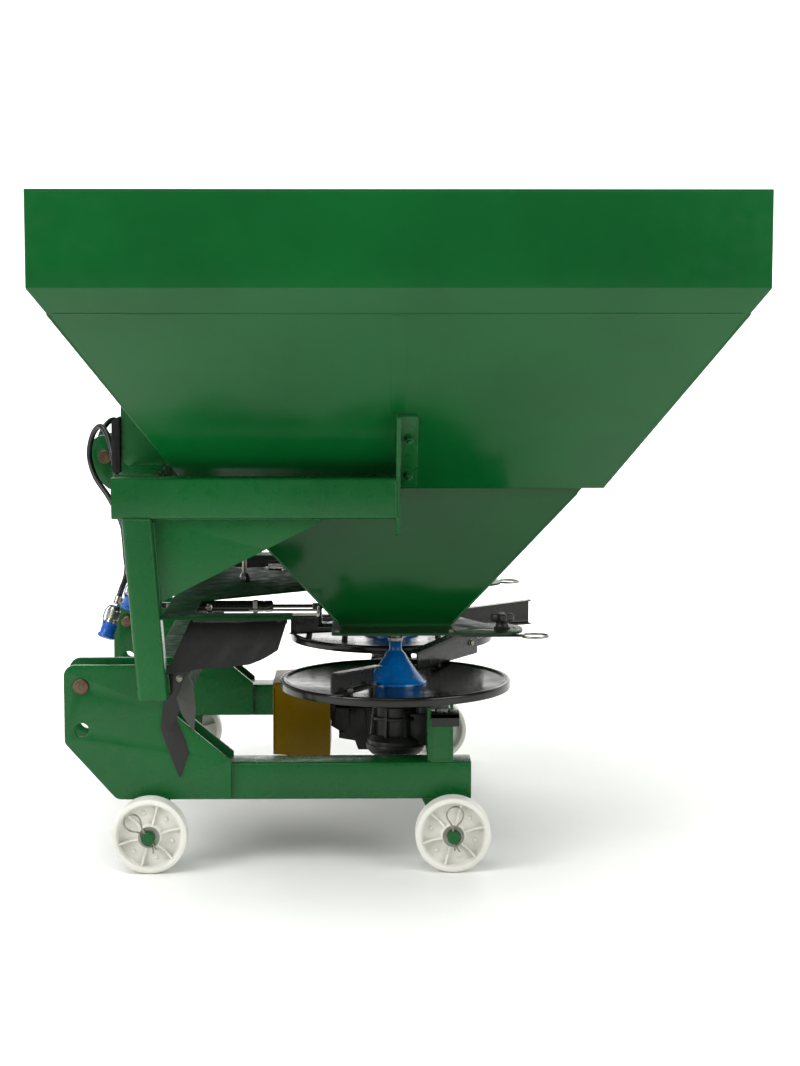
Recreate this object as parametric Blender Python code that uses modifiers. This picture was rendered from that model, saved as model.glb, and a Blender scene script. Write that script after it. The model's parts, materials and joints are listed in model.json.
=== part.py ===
"""Tractor-mounted twin-disc fertiliser spreader on four small parking wheels.

Run it with: blender --background --python part.py
Units are metres. +X points to the rear of the machine, +Z up, and -Y is its left side.
The origin is on the floor, midway between the two spreading discs.
"""

import math

import bmesh
import bpy
from mathutils import Matrix, Vector

# Clearances
GAP = 0.0003  # between faces that touch
RUNNING_GAP = 0.0005  # between a wheel and its neighbours on the axle

# Hopper
HOPPER_LENGTH = 1.334
HOPPER_WIDTH = 1.700
RIM_TOP = 1.325
RIM_BOTTOM = 1.149
RIM_INSET = 0.032
SLOPE_TOP = 1.104
FLOOR_LENGTH = 0.8246
FLOOR_WIDTH = 0.900
FLOOR_Z = 0.7547
FLOOR_SHEET = 0.004
HOPPER_WALL = 0.0045

# Funnels under the hopper floor
FUNNEL_TOP_LENGTH = 0.745
FUNNEL_TOP_INNER_Y = 0.020
FUNNEL_TOP_OUTER_Y = 0.430
FUNNEL_BOTTOM_LENGTH = 0.222
FUNNEL_BOTTOM_INNER_Y = 0.225
FUNNEL_BOTTOM_OUTER_Y = 0.345
FUNNEL_BOTTOM_Z = 0.462
FUNNEL_WALL = 0.004

# Outlet plates and shutters
OUTLET_SHEET = 0.005
OUTLET_FRONT = -0.130
OUTLET_BACK = 0.130
OUTLET_CORNER = 0.010
OUTLET_INNER_Y = 0.195
OUTLET_OUTER_Y = 0.435
SECTOR_TIP = 0.258
SECTOR_INNER_Y = 0.300
SECTOR_RADIUS = 0.055
OUTLET_HOLE_LENGTH = 0.060
OUTLET_HOLE_INNER_Y = 0.243
OUTLET_HOLE_OUTER_Y = 0.297
SHUTTER_SHEET = 0.004
SHUTTER_SIDE = 0.007
SHUTTER_STROKE = 0.080
SHUTTER_FRONT = -0.160
SHUTTER_LUG_SHEET = 0.008
SHUTTER_LUG_HALF = 0.012
SHUTTER_LUG_RISE = 0.010  # over the rod
PISTON_PLAY = 0.003
PISTON_LENGTH = 0.014
ARM_WIDTH = 0.030
HANDLE_Y = 0.420
HANDLE_WIDTH = 0.014
HANDLE_END = 0.258
HANDLE_RING = 0.029
HANDLE_WIRE = 0.0025
RUNNER_SHEET = 0.003
RUNNER_LIP = 0.007
RUNNER_LENGTH = 0.135
ROD_Z = 0.494
ROD_RADIUS = 0.004

# Hydraulic cylinders
CYLINDER_RADIUS = 0.012
CYLINDER_BORE = 0.0085
CYLINDER_FRONT = -0.440
CYLINDER_LENGTH = 0.185
CYLINDER_CAP = 0.012

# Rate knobs
KNOB_RADIUS = 0.024
KNOB_HEIGHT = 0.031
KNOB_X = 0.2166
KNOB_Y = 0.372
KNOB_STUD = 0.004
KNOB_SLOT_LENGTH = 0.070
KNOB_LOBES = 4
KNOB_LOBE_DEPTH = 0.16  # as a share of the radius
KNOB_HEAD = 0.014
KNOB_FOOT_RADIUS = 0.013
KNOB_STUD_DROP = 0.010

# Spreading discs
DISC_Y = 0.320
DISC_RADIUS = 0.237
DISC_SHEET = 0.003
DISC_FLAT_RADIUS = 0.100
DISC_Z = 0.342
DISC_RISE = 0.007
LIP_RISE = 0.003
SKIRT = 0.018
LIP_START = 0.018  # in from the rim
LIP_CREST = 0.008
LIP_EDGE = 0.002
LIP_UNDER = 0.001
SHAFT_RADIUS = 0.0095
SHAFT_TOP = 0.530
AGITATOR_REACH = 0.021
AGITATOR_RADIUS = 0.003
AGITATOR_Z = 0.505
CONE_RADIUS = 0.064
CONE_NECK = 0.013
CONE_TOP = 0.429
CONE_SHOULDER = 0.408
CONE_FOOT = 0.005

# Vanes on the discs
VANE_SHEET = 0.003
VANE_INNER_RADIUS = 0.088
SHORT_VANE_RADIUS = 0.245
LONG_VANE_RADIUS = 0.345
VANE_INNER_HEIGHT = 0.036
SHORT_VANE_HEIGHT = 0.044
LONG_VANE_HEIGHT = 0.056
VANE_FLANGE = 0.024
VANE_LIFT = 0.002
VANE_BOSS_RADIUS = 0.007
VANE_BOSS_INSET = 0.022
VANE_BOSS_OUTER = 0.197
LEFT_VANE_ANGLE = math.radians(58)
RIGHT_VANE_ANGLE = math.radians(17)

# Gearboxes and drive line
DRIVE_Z = 0.250
GEAR_INNER = 0.014
GEAR_OUTER = 0.024
GEAR_BACK = 0.004
GEAR_HUB = 0.020
CROSS_SHAFT_RADIUS = 0.0115
CAVITY_RADIUS = 0.037
CAVITY_DOWN = 0.027
CAVITY_UP = 0.032
CAVITY_SIDE_INSET = 0.002
BORE_CUT = 0.010  # how far a bore's cutter reaches past the casing
SIDE_BOX_BOTTOM = 0.195
SIDE_BOX_RADIUS = 0.058
SIDE_NECK_RADIUS = 0.045
SIDE_BOX_TOP = 0.326
SIDE_CAP_RADIUS = 0.026
SIDE_CAP_HEIGHT = 0.016
SIDE_FLANGE_RADIUS = 0.050
SIDE_FLANGE_SHEET = 0.008
SIDE_BELLY_TOP = 0.042  # over the casing's underside
SIDE_BELLY_SLOPE = 0.012
SIDE_STEP = 0.004
SNOUT_RADIUS = 0.028
SNOUT_LENGTH = 0.100
CENTRE_BOX_RADIUS = 0.050
CENTRE_BOX_HALF = 0.055
INPUT_SNOUT_RADIUS = 0.034
INPUT_FLANGE_RADIUS = 0.048
INPUT_FACE = -0.138
INPUT_FLANGE_SHEET = 0.010
PAD_HALF_WIDTH = 0.034
PAD_START = 0.030
PAD_RISE = 0.008  # over the rails
PAD_DROP = 0.045  # under the side gearboxes' tops
SUMP_HALF = 0.045
# The casting under the input bearing, as (x, z) corners.
SUMP_OUTLINE = [
    (-0.137, 0.236),
    (-0.137, 0.196),
    (-0.120, 0.186),
    (-0.120, 0.169),
    (-0.085, 0.163),
    (-0.078, 0.143),
    (-0.040, 0.143),
    (-0.040, 0.236),
]
PTO_BEARING_RADIUS = 0.0125
PTO_SPLINE_RADIUS = 0.0175
PTO_SPLINE_KEYS = 6
PTO_SPLINE_DEPTH = 0.0025
PTO_SPLINE_START = -0.146
PTO_END = -0.236

# Shield over the input shaft
SHIELD_FRONT = -0.262
SHIELD_HALF_WIDTH = 0.100
SHIELD_TOP = 0.299
SHIELD_BOTTOM = 0.142
SHIELD_SHEET = 0.003
SHIELD_CUT = 0.010  # how far a cutter reaches past the sheet

# Lower frame
TUBE_WALL = 0.004
RAIL_WIDTH = 0.080
RAIL_HEIGHT = 0.075
RAIL_OUTER_Y = 0.480
RAIL_BOTTOM = 0.133
RAIL_FRONT = -0.540
RAIL_REAR = 0.149
BEAM_PLATE_X = 0.062
BEAM_PLATE_SHEET = 0.006
BEAM_DEPTH = 0.045
BEAM_TOP = 0.296
BEAM_PLATE_TOP = 0.320
FRONT_TUBE_X = -0.500
FRONT_TUBE_Z = 0.315
FRONT_TUBE_SIDE = 0.080

# Hitch
HITCH_SHEET = 0.010
HITCH_FRONT = -0.660
HITCH_TOP = 0.4080
HITCH_NOSE_RISE = 0.043  # of the front edge's lower corner over the rail
HITCH_HEEL = 0.102  # from the front edge back to the lowest corner
HITCH_EDGE = 0.004  # the plate's lower edge over the rail's underside
HITCH_TAIL_RISE = 0.006
HITCH_NECK = 0.012
HITCH_NECK_Z = 0.309
HITCH_CORNERS = (0.022, 0.018, 0.020, 0, 0.004, 0.010, 0.012)
HITCH_REAR = -0.330
PIN_X = -0.626
PIN_Z = 0.3656
PIN_RADIUS = 0.014
PIN_HEAD_RADIUS = 0.0155
PIN_HEAD = 0.006
LOWER_HOLE_Z = 0.2774

# Upright posts and upper frame
POST_WIDTH = 0.060
POST_DEPTH = 0.058
POST_TOP_X = -0.5065
POST_BOTTOM_X = -0.479
POST_BOTTOM = 0.348
BAR_BOTTOM = 0.704
BAR_HEIGHT = 0.080
BAR_FRONT = -0.5545
DRAIN_RADIUS = 0.005
CROSS_BAR_DEPTH = 0.080
GUSSET_SHEET = 0.008
GUSSET_LOW = 0.534
GUSSET_HEEL = 0.012
GUSSET_HEEL_RISE = 0.009
GUSSET_KNEE = 0.215  # behind the post
GUSSET_KNEE_Z = 0.641
GUSSET_REACH = 0.345
BRACKET_SHEET = 0.008
BRACKET_TOP = 0.911
BRACKET_BOTTOM = 0.660
FLANGE_BOTTOM = 0.762
FLANGE_WIDTH = 0.040
FLANGE_SHEET = 0.006

# Top link bracket and hopper supports
LUG_Y = 0.040
LUG_SHEET = 0.012
LUG_FRONT = -0.656
LUG_RADIUS = 0.034
TOP_PIN_X = -0.6225
TOP_PIN_Z = 0.7885
TOP_PIN_RADIUS = 0.0125
TOP_PIN_HEAD_RADIUS = 0.0155
SUPPORT_Y = 0.205
SUPPORT_SHEET = 0.008
SUPPORT_CORNER = 0.020
SUPPORT_FRONT = -0.571
SUPPORT_TOP = 0.930
SUPPORT_CLEAR = 0.002  # from the hopper's wall
SUPPORT_STEP = 0.030  # where the support starts to follow the wall, over the bar
LUG_RISE = 0.012
LUG_FOOT = 0.014
LUG_SLOPE = 0.040
LUG_BACK = 0.022
LUG_SINK = 0.006
LUG_CORNERS = (0.028, 0.024, 0.012, 0, 0, 0.012)

# Guard plate and rubber flaps
GUARD_SHEET = 0.004
GUARD_FRONT_STRIP = -0.400  # where the strip between the posts ends
GUARD_SIDE_REAR = -0.206
GUARD_SIDE_INNER = 0.4766
GUARD_SIDE_OUTER = 0.5466
GUARD_TONGUE_WIDE = 0.290
GUARD_TONGUE_NARROW = 0.120
HANGER_X = -0.327
HANGER_RADIUS = 0.005
HANGER_FOOT_RADIUS = 0.011
HANGER_FOOT = 0.012
GUARD_REAR = -0.170
FLAP_SHEET = 0.004
FLAP_DROP = 0.100
FLAP_SPREAD = 0.030
FLAP_TOP_FRONT = -0.403
FLAP_TOP_REAR = -0.212
FLAP_LOW_FRONT = -0.438
FLAP_LOW_REAR = -0.262
FLAP_TAPER = 0.22  # how much shorter the rear corner is, as a share
FLAP_START = 0.006
HEM_INNER = 0.014
HEM_OUTER = 0.008
HEM_DEPTH = 0.006
# The strip behind the post, as (x, z) corners.
SIDE_FLAP_OUTLINE = [
    (-0.4435, 0.392),
    (-0.4400, 0.345),
    (-0.4690, 0.284),
    (-0.4330, 0.182),
    (-0.4130, 0.236),
    (-0.4330, 0.300),
    (-0.4000, 0.345),
    (-0.4060, 0.392),
]

# Wheels and axles
WHEEL_RADIUS = 0.075
WHEEL_WIDTH = 0.045
WHEEL_INNER_Y = 0.505
WHEEL_X = {"front": -0.489, "rear": 0.111}
WHEEL_WEB = 0.012
WHEEL_RIM = 0.010
WHEEL_HUB = 0.022
AXLE_RADIUS = 0.0125
AXLE_COLLAR = 0.018
AXLE_TAIL = 0.020
BRACKET_INSET = 0.005
AXLE_PLATE = 0.010
AXLE_PLATE_FRONT = 0.062
AXLE_PLATE_REAR = 0.036

# Hydraulic hoses
HOSE_RADIUS = 0.006
HOSE_STEP = 0.026
COUPLER_RADIUS = 0.0145
COUPLER_LENGTH = 0.045
CAP_RADIUS = 0.0155
CAP_LENGTH = 0.040

SIDES = {"left": -1, "right": 1}
ROUND = 16

COLOURS = {
    "green": ((0.016, 0.126, 0.035), 0.28, 0.0),
    "black_paint": ((0.010, 0.010, 0.009), 0.30, 0.0),
    "black_cast": ((0.013, 0.013, 0.012), 0.55, 0.0),
    "rubber": ((0.020, 0.021, 0.020), 0.60, 0.0),
    "yellow": ((0.300, 0.160, 0.002), 0.40, 0.0),
    "blue": ((0.002, 0.105, 0.400), 0.35, 0.0),
    "nylon": ((0.780, 0.790, 0.770), 0.45, 0.0),
    "steel": ((0.350, 0.340, 0.320), 0.35, 1.0),
    "worn_steel": ((0.160, 0.110, 0.085), 0.50, 1.0),
}


def clear_scene():
    for obj in list(bpy.data.objects):
        bpy.data.objects.remove(obj)


def make_collection(name):
    collection = bpy.data.collections.new(name)
    bpy.context.scene.collection.children.link(collection)
    return collection


def make_materials():
    materials = {}
    for name, (colour, roughness, metallic) in COLOURS.items():
        material = bpy.data.materials.new(name)
        material.use_nodes = True
        shader = material.node_tree.nodes["Principled BSDF"]
        shader.inputs["Base Color"].default_value = (*colour, 1.0)
        shader.inputs["Roughness"].default_value = roughness
        shader.inputs["Metallic"].default_value = metallic
        material.diffuse_color = (*colour, 1.0)
        materials[name] = material
    return materials


# ---------------------------------------------------------------- shapes


def make_object(name, mesh, material, matrix=None):
    obj = bpy.data.objects.new(name, mesh)
    PARTS.objects.link(obj)
    mesh.materials.clear()
    mesh.materials.append(MATERIALS[material])
    if matrix is not None:
        obj.matrix_world = matrix
    return obj


def smooth(mesh, angle=35):
    mesh.shade_smooth()
    mesh.set_sharp_from_angle(angle=math.radians(angle))


def box(name, low, high, material="green"):
    """A box between two corners, given in any order."""
    low, high = Vector(low), Vector(high)
    size = Vector(abs(b - a) for a, b in zip(low, high))
    shape = bmesh.new()
    bmesh.ops.create_cube(shape, size=1.0)
    bmesh.ops.scale(shape, vec=size, verts=shape.verts)
    mesh = bpy.data.meshes.new(name)
    shape.to_mesh(mesh)
    shape.free()
    return make_object(name, mesh, material, Matrix.Translation((low + high) / 2))


def rod(name, radius, start, end, material="steel", segments=ROUND):
    """A cylinder between two points."""
    start, end = Vector(start), Vector(end)
    span = end - start
    shape = bmesh.new()
    bmesh.ops.create_cone(
        shape, cap_ends=True, segments=segments, radius1=radius, radius2=radius, depth=span.length
    )
    mesh = bpy.data.meshes.new(name)
    shape.to_mesh(mesh)
    shape.free()
    smooth(mesh)
    turn = Vector((0, 0, 1)).rotation_difference(span).to_matrix().to_4x4()
    return make_object(name, mesh, material, Matrix.Translation((start + end) / 2) @ turn)


def turned(name, profile, origin, direction, material, closed=False, steps=ROUND):
    """A solid of revolution. The profile holds (radius, height) from top to bottom down its outer side."""
    mesh = bpy.data.meshes.new(name)
    points = [(radius, 0.0, height) for radius, height in profile]
    edges = [(i, i + 1) for i in range(len(points) - 1)]
    if closed:
        edges.append((len(points) - 1, 0))
    mesh.from_pydata(points, edges, [])
    turn = Vector((0, 0, 1)).rotation_difference(Vector(direction)).to_matrix().to_4x4()
    obj = make_object(name, mesh, material, Matrix.Translation(origin) @ turn)
    screw = obj.modifiers.new("turn", "SCREW")
    screw.steps = steps
    screw.render_steps = steps
    screw.use_merge_vertices = True
    screw.merge_threshold = 0.00001
    screw.use_smooth_shade = True
    return obj


def as_mesh(obj):
    """The object's evaluated shape as a plain mesh object, in place of the object."""
    name = obj.name
    matrix = obj.matrix_world.copy()
    graph = bpy.context.evaluated_depsgraph_get()
    mesh = bpy.data.meshes.new_from_object(obj.evaluated_get(graph))
    shape = bmesh.new()
    shape.from_mesh(mesh)
    bmesh.ops.remove_doubles(shape, verts=shape.verts, dist=0.000001)
    bmesh.ops.recalc_face_normals(shape, faces=shape.faces)
    shape.to_mesh(mesh)
    shape.free()
    material = obj.data.materials[0].name
    bpy.data.objects.remove(obj)
    mesh.name = name
    made = make_object(name, mesh, material, matrix)
    return made


def plate(name, outline, sheet, matrix, material="green", holes=()):
    """A flat plate: outlines in its own plane, its mid-plane at the matrix."""
    curve = bpy.data.curves.new(name, "CURVE")
    curve.dimensions = "2D"
    curve.fill_mode = "BOTH"
    curve.extrude = sheet / 2
    for points in (outline, *holes):
        spline = curve.splines.new("POLY")
        spline.points.add(len(points) - 1)
        for point, (u, v) in zip(spline.points, points):
            point.co = (u, v, 0, 1)
        spline.use_cyclic_u = True
    return as_mesh(make_object(name, curve, material, matrix))


def tube(name, points, radius, material, resolution=2):
    """A round bar or hose along a list of points."""
    curve = bpy.data.curves.new(name, "CURVE")
    curve.dimensions = "3D"
    curve.bevel_depth = radius
    curve.bevel_resolution = resolution
    curve.use_fill_caps = True
    spline = curve.splines.new("POLY")
    spline.points.add(len(points) - 1)
    for point, place in zip(spline.points, points):
        point.co = (*place, 1)
    return make_object(name, curve, material)


def loft(name, sections, material="green"):
    """A solid through level rectangles, each (half length, low y, high y, z), from top to bottom."""
    shape = bmesh.new()
    rings = []
    for half, low_y, high_y, z in sections:
        corners = [(-half, low_y, z), (half, low_y, z), (half, high_y, z), (-half, high_y, z)]
        rings.append([shape.verts.new(corner) for corner in corners])
    for upper, lower in zip(rings, rings[1:]):
        for i in range(4):
            j = (i + 1) % 4
            shape.faces.new((upper[i], lower[i], lower[j], upper[j]))
    shape.faces.new(rings[0])
    shape.faces.new(list(reversed(rings[-1])))
    bmesh.ops.recalc_face_normals(shape, faces=shape.faces)
    mesh = bpy.data.meshes.new(name)
    shape.to_mesh(mesh)
    shape.free()
    return make_object(name, mesh, material)


def put_away(obj):
    """A cutter, or a piece that is now part of another, is kept out of the model itself."""
    PARTS.objects.unlink(obj)
    CUTTERS.objects.link(obj)
    obj.hide_render = True
    obj.display_type = "WIRE"


def boolean(target, other, operation):
    modifier = target.modifiers.new(operation.lower(), "BOOLEAN")
    modifier.operation = operation
    modifier.object = other
    put_away(other)


def cut(target, *cutters):
    for cutter in cutters:
        boolean(target, cutter, "DIFFERENCE")
    return target


def weld(target, *pieces):
    for piece in pieces:
        boolean(target, piece, "UNION")
    return target


def upright(y):
    """Places a plate that stands along the machine, at this distance across it."""
    return Matrix.Translation((0, y, 0)) @ Matrix.Rotation(math.pi / 2, 4, "X")


def crosswise(x):
    """Places a plate that stands across the machine, with its own axes along Y and Z."""
    return Matrix.Translation((x, 0, 0)) @ Matrix(
        ((0, 0, 1, 0), (1, 0, 0, 0), (0, 1, 0, 0), (0, 0, 0, 1))
    )


def level(z):
    """Places a plate that lies flat."""
    return Matrix.Translation((0, 0, z))


def circle(radius, centre=(0, 0), count=24):
    turn = math.tau / count
    return [
        (centre[0] + radius * math.cos(i * turn), centre[1] + radius * math.sin(i * turn))
        for i in range(count)
    ]


def rectangle(low_u, high_u, low_v, high_v):
    return [(low_u, low_v), (high_u, low_v), (high_u, high_v), (low_u, high_v)]


def rounded(corners, radii, steps=5):
    """An outline with its corners turned into arcs; a radius of 0 leaves a corner sharp."""
    outline = []
    count = len(corners)
    for i, radius in enumerate(radii):
        here = Vector(corners[i])
        if not radius:
            outline.append(tuple(here))
            continue
        before = (Vector(corners[i - 1]) - here).normalized()
        after = (Vector(corners[(i + 1) % count]) - here).normalized()
        half = before.angle(after) / 2
        centre = here + (before + after).normalized() * radius / math.sin(half)
        start = here + before * radius / math.tan(half) - centre
        end = here + after * radius / math.tan(half) - centre
        for k in range(steps + 1):
            arm = start.slerp(end, k / steps).normalized() * radius
            outline.append(tuple(centre + arm))
    return outline


def mirrored(outline, side):
    """An outline across the machine, turned over for the left side."""
    return [(side * u, v) for u, v in outline]


def square_tube(name, low, high, axis, open_low=False, open_high=False):
    """A hollow tube along one axis, with each end open or capped."""
    bar = box(name, low, high)
    inner_low = [value + TUBE_WALL for value in low]
    inner_high = [value - TUBE_WALL for value in high]
    if open_low:
        inner_low[axis] -= 2 * TUBE_WALL
    if open_high:
        inner_high[axis] += 2 * TUBE_WALL
    return cut(bar, box(name + "_hollow", inner_low, inner_high))


def side_box(name, x, y, z, side, material="green"):
    """A box on one side of the machine; x, y and z are (from, to), with y measured outwards."""
    ends = sorted(side * value for value in y)
    return box(name, (x[0], ends[0], z[0]), (x[1], ends[1], z[1]), material)


# ---------------------------------------------------------------- places that several pieces share

RAIL_TOP = RAIL_BOTTOM + RAIL_HEIGHT
RAIL_INNER_Y = RAIL_OUTER_Y - RAIL_WIDTH
OUTER_HITCH_Y = RAIL_OUTER_Y + GAP + HITCH_SHEET / 2
INNER_HITCH_Y = RAIL_INNER_Y - GAP - HITCH_SHEET / 2
HITCH_INSIDE_Y = INNER_HITCH_Y - HITCH_SHEET / 2
POST_INNER_Y = OUTER_HITCH_Y + HITCH_SHEET / 2 + GAP
POST_OUTER_Y = POST_INNER_Y + POST_WIDTH
POST_TOP = BAR_BOTTOM - GAP
BAR_TOP = BAR_BOTTOM + BAR_HEIGHT
OUTLET_TOP = FUNNEL_BOTTOM_Z - GAP
OUTLET_BOTTOM = OUTLET_TOP - OUTLET_SHEET
SHUTTER_TOP = OUTLET_BOTTOM - GAP
SHUTTER_BOTTOM = SHUTTER_TOP - SHUTTER_SHEET
SHUTTER_INNER_Y = OUTLET_HOLE_INNER_Y - SHUTTER_SIDE
SHUTTER_OUTER_Y = OUTLET_HOLE_OUTER_Y + SHUTTER_SIDE
SHUTTER_Y = (SHUTTER_INNER_Y + SHUTTER_OUTER_Y) / 2
ARM_FRONT = OUTLET_BACK
GUARD_BOTTOM = ROD_Z + CYLINDER_RADIUS + GAP
DISC_BORE = SHAFT_RADIUS + GAP
WHEEL_OUTER_Y = WHEEL_INNER_Y + WHEEL_WIDTH


def post_x(z):
    """The middle of a post, which leans forward as it rises."""
    share = (z - POST_BOTTOM) / (BAR_BOTTOM - POST_BOTTOM)
    return POST_BOTTOM_X + share * (POST_TOP_X - POST_BOTTOM_X)


def wall_x(z):
    """Half the length of the hopper at a height on its sloping walls."""
    share = (z - FLOOR_Z) / (SLOPE_TOP - FLOOR_Z)
    return FLOOR_LENGTH / 2 + share * (HOPPER_LENGTH / 2 - RIM_INSET - FLOOR_LENGTH / 2)


def wall_y(z):
    """Half the width of the hopper at a height on its sloping walls."""
    share = (z - FLOOR_Z) / (SLOPE_TOP - FLOOR_Z)
    return FLOOR_WIDTH / 2 + share * (HOPPER_WIDTH / 2 - RIM_INSET - FLOOR_WIDTH / 2)


# ---------------------------------------------------------------- hopper and outlets


def make_hopper():
    length, width = HOPPER_LENGTH / 2, HOPPER_WIDTH / 2
    floor_length, floor_width = FLOOR_LENGTH / 2, FLOOR_WIDTH / 2
    outside = [
        (length, -width, width, RIM_TOP),
        (length, -width, width, RIM_BOTTOM),
        (length - RIM_INSET, RIM_INSET - width, width - RIM_INSET, SLOPE_TOP),
        (floor_length, -floor_width, floor_width, FLOOR_Z),
    ]
    inside = [
        (half - HOPPER_WALL, low + HOPPER_WALL, high - HOPPER_WALL, z)
        for half, low, high, z in outside
    ]
    inside[0] = (*inside[0][:3], RIM_TOP + FLOOR_SHEET)
    inside[-1] = (*inside[-1][:3], FLOOR_Z + FLOOR_SHEET)
    hopper = loft("hopper", outside)
    cut(hopper, loft("hopper_inside", inside))
    for name, side in SIDES.items():
        half = FUNNEL_TOP_LENGTH / 2 - FUNNEL_WALL
        y = (FUNNEL_TOP_INNER_Y + FUNNEL_WALL, FUNNEL_TOP_OUTER_Y - FUNNEL_WALL)
        z = (FLOOR_Z - FLOOR_SHEET, FLOOR_Z + 2 * FLOOR_SHEET)
        cut(hopper, side_box(f"floor_opening_{name}", (-half, half), y, z, side))


def funnel_sections(side, wall, overshoot):
    """Rectangles of a funnel, shrunk by a wall and run past both ends by an overshoot."""
    sections = []
    rows = (
        (FUNNEL_TOP_LENGTH, FUNNEL_TOP_INNER_Y, FUNNEL_TOP_OUTER_Y, FLOOR_Z - GAP),
        (FUNNEL_BOTTOM_LENGTH, FUNNEL_BOTTOM_INNER_Y, FUNNEL_BOTTOM_OUTER_Y, FUNNEL_BOTTOM_Z),
    )
    for length, inner, outer, z in rows:
        low, high = sorted((side * (inner + wall), side * (outer - wall)))
        sections.append((length / 2 - wall, low, high, z))
    if overshoot:
        sections.insert(0, (*sections[0][:3], sections[0][3] + overshoot))
        sections.append((*sections[-1][:3], sections[-1][3] - overshoot))
    return sections


def make_funnel(name, side):
    funnel = loft(f"funnel_{name}", funnel_sections(side, 0, 0))
    cut(funnel, loft(f"funnel_inside_{name}", funnel_sections(side, FUNNEL_WALL, FUNNEL_WALL)))


def make_outlet_plate(name, side):
    corners = [
        (OUTLET_FRONT, OUTLET_INNER_Y),
        (OUTLET_BACK, OUTLET_INNER_Y),
        (OUTLET_BACK + SECTOR_RADIUS, SECTOR_INNER_Y),
        (SECTOR_TIP, SECTOR_INNER_Y),
        (SECTOR_TIP, OUTLET_OUTER_Y),
        (OUTLET_FRONT, OUTLET_OUTER_Y),
    ]
    outline = rounded(corners, (*[OUTLET_CORNER] * 3, SECTOR_RADIUS, SECTOR_RADIUS, OUTLET_CORNER))
    hole = rectangle(
        -OUTLET_HOLE_LENGTH / 2, OUTLET_HOLE_LENGTH / 2, OUTLET_HOLE_INNER_Y, OUTLET_HOLE_OUTER_Y
    )
    slot_half = KNOB_STUD + GAP
    slot = rectangle(
        KNOB_X - KNOB_SLOT_LENGTH, KNOB_X + slot_half, KNOB_Y - slot_half, KNOB_Y + slot_half
    )
    shaft_hole = circle(SHAFT_RADIUS + 3 * GAP, (0, DISC_Y))
    outlines = [[(u, side * v) for u, v in shape] for shape in (outline, hole, slot, shaft_hole)]
    middle = OUTLET_TOP - OUTLET_SHEET / 2
    obj = plate(f"outlet_plate_{name}", outlines[0], OUTLET_SHEET, level(middle), holes=outlines[1:])
    add_runners(obj, name, side)


def add_runners(outlet, name, side):
    """Two L-shaped guides under the outlet plate, which carry the shutter."""
    rear = ARM_FRONT - SHUTTER_STROKE - 4 * GAP
    x = (rear - RUNNER_LENGTH, rear)
    lip_top = SHUTTER_BOTTOM - GAP
    lip_bottom = lip_top - RUNNER_SHEET
    for place, edge, way in (("inner", SHUTTER_INNER_Y, -1), ("outer", SHUTTER_OUTER_Y, 1)):
        near = edge + way * GAP
        far = near + way * RUNNER_SHEET
        web_z = (lip_bottom, OUTLET_BOTTOM + OUTLET_SHEET / 2)
        web = side_box(f"runner_web_{place}_{name}", x, (near, far), web_z, side)
        lip_y = (near - way * RUNNER_LIP, far - way * RUNNER_SHEET / 2)
        lip = side_box(f"runner_lip_{place}_{name}", x, lip_y, (lip_bottom, lip_top), side)
        weld(outlet, web, lip)


def make_shutter(name, side):
    blade_rear = ARM_FRONT + ARM_WIDTH
    handle_low = HANDLE_Y - HANDLE_WIDTH / 2
    handle_high = HANDLE_Y + HANDLE_WIDTH / 2
    corners = [
        (SHUTTER_FRONT, SHUTTER_INNER_Y),
        (blade_rear, SHUTTER_INNER_Y),
        (blade_rear, handle_low),
        (HANDLE_END, handle_low),
        (HANDLE_END, handle_high),
        (ARM_FRONT, handle_high),
        (ARM_FRONT, SHUTTER_OUTER_Y),
        (SHUTTER_FRONT, SHUTTER_OUTER_Y),
    ]
    window_front = SHUTTER_STROKE - OUTLET_HOLE_LENGTH / 2
    window = rectangle(
        window_front,
        window_front + OUTLET_HOLE_LENGTH,
        OUTLET_HOLE_INNER_Y,
        OUTLET_HOLE_OUTER_Y,
    )
    outlines = [[(u, side * v) for u, v in shape] for shape in (corners, window)]
    middle = SHUTTER_TOP - SHUTTER_SHEET / 2
    obj = plate(
        f"shutter_{name}", outlines[0], SHUTTER_SHEET, level(middle), "black_paint", [outlines[1]]
    )
    lug = side_box(
        f"shutter_lug_{name}",
        (SHUTTER_FRONT, SHUTTER_FRONT + SHUTTER_LUG_SHEET),
        (SHUTTER_Y - SHUTTER_LUG_HALF, SHUTTER_Y + SHUTTER_LUG_HALF),
        (middle, ROD_Z + SHUTTER_LUG_RISE),
        side,
    )
    piston_front = CYLINDER_FRONT + CYLINDER_CAP + SHUTTER_STROKE + PISTON_PLAY
    pull_rod = rod(
        f"shutter_rod_{name}",
        ROD_RADIUS,
        (piston_front + PISTON_LENGTH / 2, side * SHUTTER_Y, ROD_Z),
        (SHUTTER_FRONT + 2 * SHUTTER_LUG_SHEET, side * SHUTTER_Y, ROD_Z),
        segments=ROUND,
    )
    piston = rod(
        f"shutter_piston_{name}",
        CYLINDER_BORE - GAP,
        (piston_front, side * SHUTTER_Y, ROD_Z),
        (piston_front + PISTON_LENGTH, side * SHUTTER_Y, ROD_Z),
    )
    weld(obj, lug, pull_rod, piston, handle_ring(name, side, middle - 3 * GAP))


def handle_ring(name, side, z):
    """A wire eye at the end of the shutter's handle, which passes under the outlet plate."""
    bpy.ops.mesh.primitive_torus_add(
        major_segments=28,
        minor_segments=8,
        major_radius=HANDLE_RING - HANDLE_WIRE,
        minor_radius=HANDLE_WIRE,
        location=(HANDLE_END + HANDLE_RING - 3 * HANDLE_WIRE, side * HANDLE_Y, z),
    )
    ring = bpy.context.active_object
    ring.name = f"handle_ring_{name}"
    for collection in list(ring.users_collection):
        collection.objects.unlink(ring)
    PARTS.objects.link(ring)
    ring.data.materials.append(MATERIALS["steel"])
    return ring


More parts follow.
